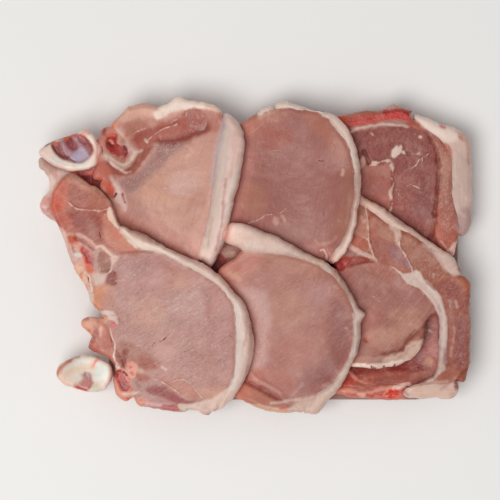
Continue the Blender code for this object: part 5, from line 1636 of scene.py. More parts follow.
@dataclass
class UpperRightChop(Slab):
    """The dark chop at the far right, with a red bone strip along its top."""

    title: str = "upper_right"
    seed: int = 15
    parts: tuple[Part, ...] = (
        lean("upper_right_chop_lean", (143, 68, 60), LeanFinish(grain=60, blotch=0.18, fibre=0.12), "dark_lean_meat"),
        bone("upper_right_chop_bone", (178, 86, 76), BoneFinish(), "marrow_bone", marrow=0.7),
        fat("upper_right_chop_fat", (220, 188, 176), FatFinish(grain=92, lump=0.12), edge_round=4.0, bulge=0.5),
    )
    muscle: tuple[Patch, ...] = (
        area((132, 68, 64), (64, 90), (78, 88), (80, 72), (72, 66), (66, 76), soft=6, strength=0.7),
        area((156, 90, 82), (84, 92), (104, 92), (118, 88), (114, 78), (96, 78), (84, 80), soft=7, strength=0.6),
        area((164, 90, 78), (99, 58), (112, 54), (112, 38), (100, 34), (97, 46), soft=7, strength=0.6),
        area((140, 76, 74), (112, 44), (124, 46), (125, 28), (114, 28), soft=6, strength=0.6),
        area((176, 104, 91), (72, 65), (80, 63), (90, 65), (95, 65), (96, 48), (94, 32), (84, 36), (70, 44), soft=1.4, relief=0.3),
        area((180, 118, 104), (73, 64), (84, 63), (94, 63), (94, 58), (84, 57), (73, 58), soft=4, strength=0.7),
        area((166, 94, 84), (73, 50), (84, 50), (94, 46), (94, 34), (84, 38), (73, 44), soft=4, strength=0.5),
        area((222, 190, 177), (80, 64.4), (82.5, 66.6), (87, 66.8), (90.6, 68.2), (95.4, 67.4), (95, 65.6), (90, 65.4), (86, 64), (81, 62.8), soft=1.0, ragged=1.0, strength=0.9, relief=0.5),
        area((204, 166, 154), (72, 66), (75.6, 70.5), (77.6, 67.4), (76.4, 63), (72, 61), soft=1.4, relief=0.4),
        line((96, 34, 32), 3, (76, 73), (77.6, 70.5), soft=2, strength=0.85, relief=-0.8),
        line((112, 44, 40), 3, (78.6, 68), (80, 65.4), soft=1.6, strength=0.85, relief=-0.8),
        line((118, 52, 48), 1.4, (84, 67.8), (89, 68.6), (93, 69.4), soft=1.2, strength=0.7, relief=-0.4),
        area((230, 206, 193), (95, 71), (97, 75.8), (99.4, 78), (100.4, 76.4), (102.2, 77.8), (103.2, 74.5), (101.8, 71.4), (99.2, 69.2), (96.4, 68.6), soft=1.0, relief=0.8),
        line((222, 192, 178), 1.4, (96.4, 69), (95.4, 64.5), (97, 60), (96, 55), (97, 50.5), (95.4, 46), (95.2, 42), (96.2, 38), (95.6, 34), (93.6, 30.5), soft=1.0, ragged=1.0, relief=0.4),
        line((110, 50, 46), 1.0, (98, 60), (97.4, 55), (98.4, 50), (96.8, 44), soft=1.0, strength=0.6, relief=-0.4),
        line((238, 214, 204), 2.6, (104, 73), (104.8, 72.6), soft=1.1, relief=0.6),
        line((96, 30, 28), 2.0, (105.4, 73), (107.4, 71.8), soft=1.4, strength=0.9, relief=-0.5),
        line((124, 56, 52), 1.4, (107, 71.6), (112, 70.6), (118, 70), soft=1.4, strength=0.6, relief=-0.4),
        line((230, 200, 188), 1.4, (115.2, 83.6), (116.4, 83.4), soft=0.9),
        line((220, 180, 168), 1.2, (81.6, 86), (82.6, 84.8), soft=0.9, strength=0.9),
        line((216, 176, 162), 1.4, (113, 71.4), (115, 72), soft=0.9, strength=0.9),
        vein(0.8, (110, 61.8), (112.4, 63.4), (114, 66), (115.6, 68.4), strength=1.0, relief=0.3),
        vein(0.8, (117.4, 66.4), (117, 69), (119.4, 70), (122.4, 72.8), strength=1.0, relief=0.3),
        vein(0.8, (106.6, 49), (109, 50.2), (112, 49), (115.4, 47.6), strength=0.8),
        vein(1.0, (99, 47), (99.6, 45), (101, 43), strength=0.8),
        vein(0.9, (108, 80), (111, 78), (114, 76), (117, 74), strength=0.5),
        vein(0.8, (120, 43), (122, 41), (125, 40), strength=0.5),
        vein(0.8, (79.6, 43), (81, 43.6), strength=0.9),
        vein(0.8, (89.6, 58), (89, 52), strength=0.5),
        glints((206, 150, 140), (66, 86), (84, 90), (118, 86), (124, 66), (124, 36), (104, 30), (98, 44), (104, 64), (84, 76), (70, 74), soft=4, strength=0.3),
    )
    strip: tuple[Patch, ...] = (
        area((178, 104, 86), (123, 86), (128, 82), (133, 79), (137, 75.5), (138.4, 70), (138, 63), (136.8, 56), (136.8, 46), (138.4, 36), (140.4, 28), (142.4, 22), (143.4, 13), (140, 7.5), (134, 2), (130, 6), (127, 12), (125.4, 20), (127, 34), (128.4, 48), (129, 60), (127.6, 71), (124, 80), soft=1.8, relief=0.5),
        area((178, 92, 72), (129, 34), (139, 32), (143, 16), (139, 8), (131, 8), (127, 18), soft=5, strength=0.8),
        area((190, 130, 108), (129, 72), (137, 70), (136, 52), (130, 46), soft=5, strength=0.6),
        glints((222, 170, 150), (126, 84), (130, 78), (137, 72), (136.6, 46), (141, 26), (139, 10), (131, 12), (128.6, 44), (129.6, 62), soft=2.5, strength=0.7),
        line((108, 42, 38), 1.8, (123, 83), (126, 77.5), (128.2, 70), (128.6, 61), (128.2, 51), (127.4, 41), (126.8, 30), (125.6, 20), (122, 12.6), (119.6, 9.6), soft=3.2, ragged=1.5, strength=0.9, relief=-1.2),
        line((214, 176, 160), 1.2, (130, 10.6), (132.6, 7.4), (135, 4), soft=1.2, strength=0.8, relief=0.3),
        line((140, 90, 84), 2, (142, 29), (144.6, 23), (145, 15), soft=2.5, strength=0.7),
    )
    top: tuple[Patch, ...] = (
        area((178, 128, 116), (66, 90), (74, 92), (84, 93), (94, 96), (106, 95), (112, 92), (104, 91), (88, 90), (72, 87), soft=2, strength=0.9),
        area((218, 184, 171), (66, 86.5), (70, 90), (80, 92), (87, 93.6), (90, 93.2), (100, 92.6), (108, 91.8), (114, 90.4), (106, 90.4), (98, 91.4), (90, 91.6), (84, 90.8), (76, 89.6), (70, 87.6), soft=1.2, relief=0.4),
        area((186, 100, 84), (106, 95.5), (112, 96), (117, 93), (119, 88), (113, 89.6), (107, 91), soft=1.8, strength=0.95),
        area((176, 104, 88), (54, 98), (62, 100), (70, 102), (78, 104), (88, 103.6), (88, 100), (78, 98.6), (68, 97), (60, 95), soft=1.6),
        area((206, 90, 82), (63, 93), (68, 96), (76, 98), (84, 99), (92, 101), (100, 102), (108, 100.6), (109, 96), (103, 95.6), (94, 96.2), (86, 94), (76, 92.6), (68, 91.4), soft=1.6, marrow=0.9, wet=0.6),
        line((196, 82, 50), 3, (56, 97), (60, 98), (62.6, 96), soft=1.6, strength=0.9),
        line((176, 34, 30), 1.4, (66, 94), (74, 95.2), (82, 96.4), soft=1.4, strength=0.7, marrow=0.8),
        line((160, 20, 20), 2.4, (90, 100.6), (96, 102), (102, 101.8), (107.6, 99.6), soft=1.4, strength=0.95, relief=-0.3, marrow=1.0, wet=0.6),
        line((212, 62, 60), 4, (94, 98), (100, 98.6), (106, 97.4), soft=2.2, strength=0.8, marrow=0.8, wet=0.5),
        slit(1.2, (107, 100), (108, 98.6), strength=0.8),
        area((192, 158, 148), (88, 103), (91, 106), (97, 108.5), (101, 107), (103, 103.6), (98, 104), (92, 103), soft=1.4, relief=0.3),
        area((228, 200, 188), (109, 98.6), (114, 97), (119, 99), (126, 96), (130, 93), (126, 90), (118, 90), (114, 95), soft=2.5, strength=0.8),
    )
    cap: tuple[Patch, ...] = (
        area((250, 228, 218), (110, 99), (126, 96), (136, 92), (144, 88), (140, 80), (132, 82), (124, 86), soft=5, strength=0.75),
        area((203, 176, 166), (139, 70), (148, 72), (150, 54), (148, 40), (142, 32), (138, 40), (138, 56), soft=6, strength=0.7),
        line((222, 98, 84), 3.2, (130.6, 91.4), (132.4, 90.4), soft=2, strength=0.85, wet=0.5),
        line((210, 160, 138), 2, (141, 87.4), (146, 84), (149.4, 79), (150.6, 72), soft=2, strength=0.7),
        line((178, 124, 108), 1.1, (142, 84.6), (147.4, 79.6), (149.2, 73), (150.2, 64), soft=1.2, strength=0.8, relief=-0.7),
        line((222, 190, 176), 2, (151, 70), (152, 58), (151.6, 46), soft=1.8, strength=0.5),
        area((182, 148, 144), (141, 29.5), (146, 34), (152, 32), (152, 20), (147, 14), (141, 18), soft=6, strength=0.9),
        line((206, 176, 168), 2.4, (144, 30), (147, 28), soft=2, strength=0.6),
        area((216, 184, 171), (133.5, 2.5), (137, 6), (141, 10.4), (145.6, 10), (146, 2), (142, -4), (136, -3), soft=1.4, relief=0.3),
        line((190, 150, 140), 1.5, (136, 2.4), (142, 1.4), soft=1.6, strength=0.5),
    )
    nubs: tuple[Nub, ...] = (
        Nub((96, 105.5), (0.0, 1.6), 5.0),
        Nub((118, 96), (-5.0, 2.0), 7.0),
        Nub((110, 96), (0.5, 4.0), 5.0),
        Nub((106, 101), (3.0, -1.0), 4.0),
    )

    def __post_init__(self) -> None:
        """Lays the paint from the muscle outwards."""
        self.patches = (*self.muscle, *self.strip, *self.top, *self.cap)


@dataclass
class FlankChop(Slab):
    """The chop at the near right: a folded flank, a pale-rimmed eye and outer fat."""

    title: str = "flank"
    seed: int = 16
    nubs: tuple[Nub, ...] = (
        Nub((58, -4), (-6.0, 3.0), 8.0),
        Nub((108.5, -95), (-5.5, 0.5), 7.0),
        Nub((126, -99), (0.5, 1.6), 5.0),
        Nub((137, -99.5), (0.5, -1.2), 4.5),
        Nub((140, -91), (1.5, 3.0), 5.0),
    )
    parts: tuple[Part, ...] = (
        lean("flank_chop_lean", (158, 90, 75), LeanFinish(grain=50, blotch=0.22, fibre=0.22)),
        fat("flank_chop_fat", (220, 188, 176), FatFinish(grain=35), edge_round=3.5, bulge=0.5),
        fat("flank_chop_corner_fat", (228, 194, 181), FatFinish(grain=0), edge_round=4.0, bulge=0.5),
    )
    muscles: tuple[Patch, ...] = (
        area((184, 128, 109), (68, 34), (78, 34), (79.4, 22), (79.4, 12), (72, 14), (67, 20), soft=2, strength=0.95),
        line((218, 176, 160), 2.6, (74, 27), (76.4, 24.6), soft=2, strength=0.7),
        line((160, 100, 86), 2, (72, 18), (76, 17), soft=2, strength=0.6),
        area((176, 104, 84), (65, 11), (72, 13.4), (78.6, 11), (80.6, 4), (76, 2.6), (70, 5), (65, 8), soft=2, strength=0.95),
        area((158, 118, 112), (58, 8), (66, 6), (73, 0.5), (64, 0), (60, 2), soft=2, strength=0.9),
        line((208, 172, 161), 3.2, (64, 9), (68.6, 5.4), (74, 2.4), (79, 0), (84, -2.6), soft=1.6, ragged=0.5, relief=0.4),
        area((184, 126, 106), (80, 25), (84, 27), (90, 24), (94.6, 20), (97.6, 15), (98, 10), (92, 10), (86, 14), (81, 17), soft=2.5, strength=0.95),
        area((182, 104, 86), (80.6, 20), (86, 19), (86, 12), (81, 10), soft=3, strength=0.8),
        area((168, 98, 84), (80, 12), (88, 12), (97, 9), (101, 3), (106, -6), (109, -11), (102, -11), (94, -7), (87, -3.6), (82.6, 2), soft=3, strength=0.95),
        area((158, 104, 104), (93, 7), (99.6, 6), (104, -1), (107, -8), (101, -6), (95, 0), soft=3.5, strength=0.85),
        area((176, 100, 80), (90, -2), (98, -5), (107, -9.6), (109, -12.6), (102, -12), (94, -7.4), soft=2.5, strength=0.8),
        line((122, 98, 106), 2, (106, -4.6), (107.6, -7), soft=2.2, strength=0.7, wet=0.5),
        vein(1.2, (77, 34), (78.4, 26), (79, 18), (79.4, 11), (80.8, 5), (83.6, -1.4), strength=1.0, relief=0.3),
        vein(1.3, (72.4, 14), (76, 13), (79, 11.6), strength=0.9),
        area((216, 181, 166), (93, 27), (99, 23), (102, 17), (101.4, 9), (99.8, 7.4), (98, 11), (97, 16), (94, 20.6), soft=1.8, strength=0.95, relief=0.3),
        vein(1.4, (100.4, 10), (101, 6.6), (103.6, 2.2), (106.4, -2.4), (108.8, -7.4), (110.6, -12), strength=1.0, relief=0.3),
        area((166, 98, 76), (101.6, 12), (104, 15), (107, 16.4), (111, 13), (116, 7), (122, 1), (127, -4.6), (131, -9), (137, -13), (133, -18), (125, -20), (117, -15), (112, -9.6), (108, -3), (104.4, 3), (101.8, 8), soft=1.8, relief=0.2),
        area((184, 124, 104), (102.6, 13), (107, 15), (110, 11), (106, 6), soft=3, strength=0.6),
        area((178, 124, 106), (124, 0), (130, -5), (127, -8), (121, -5), soft=3, strength=0.6),
        glints((206, 146, 120), (103, 12), (112, 11), (124, -2), (132, -12), (124, -18), (112, -9), (104, 4), soft=2, strength=0.45),
        line((206, 166, 146), 1.2, (124.8, -13), (124.6, -15.4), soft=1.1, strength=0.8),
        line((176, 120, 108), 1.2, (133, -15.4), (136, -14.4), soft=1.2, strength=0.7),
    )
    flank: tuple[Patch, ...] = (
        area((164, 88, 73), (127, -24), (132, -17), (140, -13), (148, -15), (154, -20), (153, -32), (146, -34), (134, -32), soft=3, strength=0.9),
        area((178, 104, 78), (140, -14), (148, -15), (153, -20), (151, -26), (143, -22), soft=3, strength=0.8),
        area((150, 82, 80), (132, -18), (140, -20), (144, -30), (136, -28), soft=3, strength=0.6),
        area((160, 88, 75), (133, -34), (152, -32), (152, -60), (150, -80), (146, -84), (136, -82), (134, -60), soft=3, strength=0.9),
        area((150, 84, 82), (140, -44), (147, -46), (148, -62), (146, -76), (141, -74), (140, -58), soft=4, strength=0.8),
        area((176, 112, 98), (134, -38), (139, -40), (139, -58), (139, -72), (135, -74), (134, -56), soft=2.5, strength=0.7),
        line((178, 124, 104), 1.8, (149.4, -36), (150, -50), (150.4, -62), (149.4, -76), soft=1.8, strength=0.6),
        area((180, 112, 94), (127, -84), (134, -78), (142, -80), (144, -84), (136, -89), (126, -89), soft=2.5, strength=0.9),
        glints((206, 150, 134), (129, -22), (142, -18), (150, -30), (150, -70), (144, -78), (137, -74), (136, -40), soft=3, strength=0.4),
        line((196, 150, 140), 1.6, (136, -32), (136.6, -36), soft=1.3, strength=0.8),
        line((206, 160, 150), 1.8, (140.4, -32), (141, -35.4), soft=1.3, strength=0.8),
        line((208, 156, 138), 1.4, (139.2, -50), (139.4, -54), (138.6, -60), soft=1.4, strength=0.7),
        line((204, 152, 140), 2, (137.4, -64), (137, -70), soft=1.8, strength=0.7),
        line((118, 44, 40), 1.6, (140.4, -92), (140.4, -88), (143.4, -83.6), (148, -79.6), soft=1.8, strength=0.85, relief=-1.0),
        area((166, 94, 78), (142.6, -85), (148.4, -80), (150, -84), (147, -90), (142.6, -95), (141.4, -91), soft=1.6, strength=0.9, relief=0.3),
        area((218, 192, 182), (109, -11.4), (112, -9.6), (115, -11), (118, -15), (123, -20), (128, -25.4), (131.2, -31.6), (133, -40), (134.4, -48), (134.6, -58), (133.4, -66), (132, -72), (133, -79), (130, -82), (127, -84), (124, -87), (118, -88.4), (120, -86.4), (124, -83), (127, -78), (127.6, -66), (128.6, -56), (128.6, -47.6), (127.4, -40), (124.6, -34), (119.6, -27.6), (114, -22.6), (106.4, -19.4), (101, -13), (95, -7.4), (99, -9), (104, -12), soft=1.1, ragged=0.4, relief=0.5),
        line((232, 210, 200), 2, (112, -13), (118, -19), (124, -24.6), (128.6, -32), (131.4, -42), (132, -54), (131.4, -64), soft=1.8, strength=0.7),
        line((176, 152, 156), 1.6, (128, -34), (130.4, -42), (130.6, -52), (129.6, -66), soft=1.8, strength=0.6, relief=-0.3),
        line((150, 96, 92), 1.2, (117, -14.6), (121, -19.4), (126, -23.6), soft=1.2, strength=0.7, relief=-0.3),
        line((196, 156, 158), 3, (132.6, -66), (132.4, -74), soft=2.4, strength=0.8),
        line((152, 100, 94), 1.4, (134.4, -60), (135, -66), (133.6, -70), soft=1.6, strength=0.6),
    )
    eye: tuple[Patch, ...] = (
        area((174, 117, 107), (50, -16), (58, -10), (70, -7), (80, -4.6), (89, -5.6), (95.4, -8.6), (101, -14), (107, -20), (114, -23.4), (120, -28.6), (124.4, -35), (125.6, -40), (121, -45), (114, -52.4), (108.4, -57), (104, -62.6), (95, -66.6), (84, -69.6), (70, -71.4), (56, -66), soft=1.2),
        area((174, 106, 90), (78, -5), (90, -6), (100, -13.6), (92, -16), (80, -12), soft=5, strength=0.85),
        area((150, 98, 94), (60, -12), (74, -12), (80, -30), (72, -40), (64, -30), soft=8, strength=0.6),
        area((188, 134, 116), (94, -42), (112, -36), (120, -42), (112, -52), (98, -56), soft=9, strength=0.8),
        area((196, 144, 127), (80, -52), (98, -50), (102, -60), (88, -64), (76, -60), soft=7, strength=0.8),
        area((172, 118, 112), (96, -24), (112, -28), (118, -36), (104, -36), soft=7, strength=0.5),
        area((164, 122, 113), (64, -62), (76, -60), (80, -70), (68, -72), soft=5, strength=0.7),
        vein(1.0, (82, -28), (85, -30), (87, -32), strength=0.7),
        vein(0.9, (92, -44), (98, -44.6), (104, -44), strength=0.4),
        line((176, 80, 72), 2, (76.4, -58), (77.6, -60), soft=2, strength=0.7),
        line((144, 62, 58), 1.4, (76.2, -59.6), (77.2, -60), soft=1.0, strength=0.7),
        area((186, 140, 128), (66, -71), (84, -70), (96, -67.6), (103.6, -66), (106, -61), (110, -59), (119.6, -58.6), (116.4, -62), (115.4, -68), (111, -72), (106, -75), (98, -76), (90, -78), (80, -78), (66, -77), soft=1.4),
        # Painted shadow along the inner side of the flap, where the eye's edge stands over it.
        line((132, 66, 54), 2.4, (123.6, -42.6), (117, -49.6), (110.6, -54.6), (105.6, -59.6), (103.4, -64.6), (96, -66.6), (90, -68), soft=2.6, strength=0.8, relief=-0.8),
        area((220, 186, 170), (88, -72), (94, -70), (98, -68.8), (101, -67.6), (104.4, -66.4), (104, -64.4), (107.4, -61), (111, -59.8), (119.6, -57.8), (119.2, -60), (116, -63.8), (115, -69.4), (112, -73.6), (106, -76.4), (97, -77), (88, -76.6), soft=1.1, ragged=0.9, strength=0.95, relief=0.4),
        line((190, 146, 130), 1.4, (100, -70.6), (104.6, -68.6), (107, -64.6), (111, -62), soft=1.4, strength=0.6, relief=-0.3),
        area((240, 216, 203), (64, -78.4), (72, -79.4), (80, -79.4), (82, -77.6), (86, -79.4), (90, -79), (95, -78.6), (97, -76.2), (102, -76.2), (107.6, -76), (113, -73), (116.4, -68), (115.6, -63), (113.6, -66), (110, -70.4), (102, -72.4), (92, -73.8), (82, -74.6), (74, -75), (65, -74.6), soft=1.2, ragged=0.9, relief=0.4),
        slit(1.4, (81.4, -79.6), (81.2, -76.6), strength=0.95, relief=-0.8),
        slit(1.3, (89.8, -79.6), (90, -76.8), strength=0.95, relief=-0.8),
        slit(1.3, (96.8, -78), (97.6, -75.4), strength=0.95, relief=-0.8),
        slit(1.2, (105.6, -77.4), (105.6, -74.6), strength=0.9, relief=-0.6),
        area((150, 58, 54), (54, -9), (60, -1.6), (70, -0.6), (79, -1.8), (84.6, -3.8), (76, -5), (66, -7.4), (60, -10), soft=1.6, strength=0.95, relief=-1.0),
        area((150, 30, 26), (52, -10), (57, -3), (63, -5.6), (60, -10.6), soft=2.6, strength=0.95, relief=-0.8),
        line((206, 162, 146), 1.2, (81, -1.6), (84.6, -3.4), soft=1.0, strength=0.8),
    )
    cap: tuple[Patch, ...] = (
        line((228, 196, 180), 4, (76, 38), (84, 34), (92, 28), (100, 21), soft=3, strength=0.7),
        line((204, 174, 166), 4, (118, 8), (126, 2), (134, -4), (141, -10), soft=4, strength=0.7),
        area((216, 186, 174), (126, 2), (134, 0), (142, -4), (143, -12), (138, -14), (130, -8), soft=2.5, strength=0.8),
        line((170, 118, 104), 1.4, (98, 25), (106, 18.6), (114, 12), (122, 6), (130, 1), soft=1.6, strength=0.5),
        area((142, 96, 86), (141, -2), (145, -1), (148, -8), (150, -13), (145, -13), (142, -10), soft=1.4, strength=0.9),
        line((226, 190, 176), 3, (98, -91), (110, -90.4), (122, -89.4), (134, -88), soft=2.4, strength=0.6, relief=0.3),
        line((226, 196, 170), 4, (110, -95), (120, -95.6), (130, -95), soft=4, strength=0.5),
        line((206, 160, 142), 3, (132, -92), (137, -95), (138, -99), soft=3, strength=0.5),
        line((190, 148, 142), 2, (130, -93), (136, -89), (140, -85), soft=2, strength=0.5, relief=-0.4),
        line((176, 118, 112), 2, (103, -94), (106, -97), soft=2, strength=0.7),
    )

    def __post_init__(self) -> None:
        """Lays the paint from the outside muscles to the eye and the fat."""
        self.patches = (*self.muscles, *self.flank, *self.eye, *self.cap)


@dataclass
class LowerRightChop(Slab):
    """The lowest chop of the near row, of which a dark strip and a marrow bone show."""

    title: str = "lower_right"
    seed: int = 17
    parts: tuple[Part, ...] = (
        lean("lower_right_chop_lean", (166, 94, 82), LeanFinish(grain=10, blotch=0.3, fibre=0.25), "dark_lean_meat"),
        bone("lower_right_chop_bone", (196, 108, 94), BoneFinish(), "marrow_bone", marrow=0.5),
    )
    patches: tuple[Patch, ...] = (
        area((176, 114, 110), (108, -56), (118, -46), (128, -38), (132, -50), (130, -66), (128, -78), (118, -76), (108, -68), soft=4, strength=0.95),
        area((154, 84, 82), (112, -70), (118, -72), (116, -80), (100, -80), (92, -77), (104, -74), soft=4, strength=0.8),
        area((160, 124, 124), (114, -68), (117, -69), (118, -76), (115, -77), soft=2, strength=0.7, wet=0.5),
        glints((228, 200, 196), (115, -50), (124, -46), (126, -54), (120, -60), (116, -58), soft=2, strength=0.9),
        glints((228, 190, 180), (106, -74), (114, -70), (122, -60), (127, -50), (127, -80), (112, -80), soft=3, strength=0.5),
        line((238, 220, 214), 1.6, (118.4, -52.6), (119.4, -52), soft=0.9, wet=0.8),
        line((238, 220, 214), 1.8, (122.6, -52.6), (123.8, -53.2), soft=0.9, wet=0.8),
        area((190, 136, 116), (119, -73), (120.6, -70.6), (124, -70.6), (126.4, -73), (125.4, -76), (122, -77), (118, -76), soft=1.4, relief=0.9),
        # Painted shadow: a dark band just under the pale lower rim of the flank chop's eye; the band below it is
        # lighter.
        area((132, 52, 48), (62, -78), (80, -79), (100, -77), (112, -75), (126, -79), (127, -83), (118, -82.6), (100, -81.6), (82, -82), (70, -84), soft=4.5, strength=1.0),
        area((160, 94, 82), (90, -83), (108, -83), (122, -85), (118, -88.4), (100, -89.4), (90, -91), soft=3, strength=0.8),
        area((182, 82, 68), (56, -93), (64, -84), (68, -84), (73, -89), (66, -91.6), soft=2, strength=0.9),
        line((192, 58, 44), 3.4, (60.6, -92), (63.4, -90.4), soft=2.4, strength=0.9, wet=0.5),
        line((228, 152, 132), 1.6, (65.6, -81), (69, -84.6), (73.4, -88), (78, -89.4), soft=1.4, strength=0.85, relief=0.3),
        line((214, 132, 114), 1.4, (76, -85), (79, -88.6), (84, -91), soft=1.4, strength=0.7),
        line((206, 124, 108), 1.2, (82, -85), (82.6, -88), soft=1.4, strength=0.5),
        area((208, 130, 112), (56, -92.6), (66, -91), (76, -92), (88, -91.6), (98, -90.6), (100, -92.6), (88, -94), (76, -94.6), (64, -94.6), soft=2, strength=0.85),
        line((224, 156, 140), 2.2, (56, -94.6), (64, -94), (72, -96), (80, -95.4), (88, -93.4), (96, -92), (104, -91.4), soft=1.6, ragged=1.0, relief=0.4),
        line((236, 204, 192), 3.6, (98, -92), (104, -91.6), (108, -91), soft=1.8, strength=0.9, relief=0.3),
        line((232, 176, 160), 2.2, (72, -97), (76, -98.4), soft=1.4, strength=0.9),
        area((206, 60, 44), (78, -97), (86, -97.4), (91, -95.6), (95, -93.8), (99.6, -94.4), (101.6, -96.8), (97, -99), (88, -99.4), soft=1.2, marrow=1.0, wet=0.7),
        line((236, 150, 130), 1.4, (90, -97), (92.6, -94.6), soft=1.0, strength=0.9),
        line((226, 140, 126), 1.6, (84, -98.8), (92, -98.8), soft=1.2, strength=0.6),
        area((186, 120, 112), (100, -97), (104, -94), (107, -96), (104, -100), soft=2, strength=0.8),
    )


@dataclass
class UpperRib(Slab):
    """The sawn end of the rib of the far row's top chop."""

    title: str = "upper_rib"
    seed: int = 18
    ragged: float = 0.3 * MM
    parts: tuple[Part, ...] = (
        bone("upper_rib_bone", (230, 209, 197), BoneFinish(), edge_round=3.0),
    )
    patches: tuple[Patch, ...] = (
        area((238, 210, 197), (-154, 72), (-146, 78), (-140, 80), (-142, 72), (-146, 68), soft=4, strength=0.8),
        line((214, 212, 204), 3, (-141, 67.4), (-134, 64.4), (-126, 62.8), (-118, 63.4), (-113, 67), soft=3, strength=0.8),
        area((168, 124, 136), (-142, 78), (-138.3, 79.8), (-133.6, 82.4), (-127.8, 85.2), (-122.4, 85), (-118.4, 82.6), (-115.4, 79.6), (-113.6, 76), (-113.6, 72.2), (-115.4, 69), (-118.4, 66.6), (-122, 65.2), (-126, 65.2), (-130.6, 66.2), (-135, 68), (-139, 71.2), (-141.4, 75), soft=2.0, ragged=0.3, relief=-2.2, wet=0.2),
        area((132, 6, 4), (-142, 78.4), (-138, 80), (-135.4, 78.6), (-134.6, 75), (-132.4, 71), (-130.8, 68), (-134, 67.6), (-138.4, 70.6), (-141.6, 75), soft=1.7, ragged=0.4, strength=0.95, relief=-0.3),
        area((136, 14, 20), (-134.2, 82), (-130.6, 83.4), (-126, 82), (-123.6, 79.6), (-123.4, 76.2), (-125.6, 73.6), (-129, 73.8), (-131.6, 77), soft=2.2, ragged=0.5, strength=0.9, relief=-0.3),
        area((126, 4, 8), (-123.6, 84.6), (-120, 83.8), (-116.6, 81), (-114, 77), (-113.8, 73), (-116.2, 70.6), (-118.2, 74), (-120.8, 78), (-124, 80.6), soft=1.7, ragged=0.4, strength=0.95, relief=-0.3),
        # Painted highlight: the lavender glow at the bottom of the hollow.
        area((170, 158, 180), (-129.4, 70), (-126.4, 72.6), (-122, 76), (-118.6, 73.6), (-116.4, 69.6), (-119.4, 67), (-124, 66), (-128.6, 67.4), soft=2.6, ragged=0.4, strength=0.9),
        line((186, 148, 160), 2.2, (-126.6, 82), (-124.4, 79), (-122.6, 75.4), soft=2.4, strength=0.6),
        line((164, 104, 112), 2, (-134.4, 78.4), (-132, 74), (-129.6, 70), soft=2.2, strength=0.6),
        area((212, 112, 80), (-141.6, 78.8), (-138.6, 80.2), (-136.6, 79.4), (-139.4, 77.4), soft=1.4, strength=0.8),
        line((214, 110, 78), 2.2, (-133.4, 82), (-130, 83.8), (-127.4, 84.4), soft=1.6, strength=0.85),
        line((196, 96, 92), 2.4, (-125.6, 84.4), (-121.6, 83.8), (-119.4, 82.4), soft=1.8, strength=0.7),
        line((112, 46, 50), 1.3, (-132, 69.4), (-129.4, 67.6), (-126.6, 65.8), soft=1.2, strength=0.8, relief=-0.4),
        line((152, 92, 80), 1.8, (-147, 78), (-141.6, 80.6), (-136.4, 82.6), (-132.4, 85.4), (-128.6, 86.4), soft=1.4, strength=0.85, relief=-0.3),
        line((92, 70, 62), 1.6, (-147, 77.6), (-145.4, 78.6), soft=1.2, strength=0.9),
        area((226, 176, 164), (-122, 86), (-119, 89.6), (-116, 88.4), (-116, 85), (-119, 84), soft=1.6, strength=0.9),
        line((186, 118, 102), 1.4, (-151, 68.6), (-145, 65.8), (-139.6, 62.4), (-133, 60.6), soft=1.4, strength=0.7),
        line((232, 198, 192), 2.4, (-111, 79), (-108.6, 74), (-109, 68), soft=2, strength=0.8),
    )
    nubs: tuple[Nub, ...] = (
        Nub((-112, 75), (4.0, 0.6), 6.5),
        Nub((-114, 66), (2.4, -1.2), 5.0),
        Nub((-119, 87.5), (0.4, 1.2), 3.0),
        Nub((-142, 66), (0.6, -1.0), 6.0),
    )


@dataclass
class LowerRib(Slab):
    """The sawn end of the rib of the near row's top chop."""

    title: str = "lower_rib"
    seed: int = 19
    ragged: float = 0.3 * MM
    parts: tuple[Part, ...] = (bone("lower_rib_bone", (231, 215, 203), BoneFinish(), edge_round=3.0),)
    patches: tuple[Patch, ...] = (
        area((226, 220, 210), (-132, -74), (-120, -70), (-104, -72), (-101, -82), (-104, -90), (-114, -84), (-122, -78), (-132, -80), soft=5, strength=0.8),
        area((222, 226, 218), (-112, -77), (-104, -77), (-102, -84), (-108, -87), (-113, -84), soft=4, strength=0.8),
        line((232, 206, 180), 4, (-136, -84), (-129, -80.6), (-121, -78.6), (-114, -78), soft=3.5, strength=0.85),
        area((240, 200, 184), (-141, -85), (-134, -85), (-126, -90), (-130, -94), (-138, -91), soft=3, strength=0.8),
        line((208, 136, 114), 3.0, (-141, -85), (-137.6, -80), (-133, -75.4), (-130, -73.6), soft=2.2, ragged=0.4, relief=0.3),
        line((170, 120, 108), 1.4, (-132, -74), (-128, -72), (-124, -70.6), soft=1.4, strength=0.7),
        area((196, 132, 124), (-126.6, -91), (-122.6, -87.6), (-121, -83.4), (-118.4, -81.8), (-115.6, -83.6), (-114.4, -88), (-116, -92), (-119, -95.6), (-125, -95), soft=4, ragged=1.2, relief=-1.0, marrow=0.2, wet=0.5),
        line((168, 128, 130), 2.2, (-120.6, -83.6), (-118.4, -82.6), (-116.4, -84.4), (-115.4, -88), soft=2, strength=0.85),
        area((200, 62, 54), (-126, -91.4), (-122, -91.6), (-118.6, -93.4), (-118.4, -96), (-124, -95.6), soft=1.8, strength=0.95, marrow=0.8, wet=0.6),
        line((196, 110, 106), 1.6, (-122.4, -92), (-118.6, -93), (-116, -91.4), (-115.2, -88.6), soft=1.4, strength=0.7),
        line((240, 168, 148), 2.6, (-114.4, -77.6), (-112.4, -74.6), (-110.6, -72.8), soft=1.6, strength=0.9),
        line((216, 112, 104), 1.0, (-113.4, -76.6), (-111.8, -73.8), soft=1.0, strength=0.85),
        line((224, 180, 172), 2.4, (-101, -78), (-101, -84), (-103, -90), soft=2, strength=0.8),
        line((206, 160, 150), 1.8, (-125, -96), (-116, -97.6), (-108, -97), soft=1.8, strength=0.7),
        area((206, 196, 172), (-114, -90), (-108, -90), (-108, -94), (-113, -94.4), soft=2.5, strength=0.6),
    )


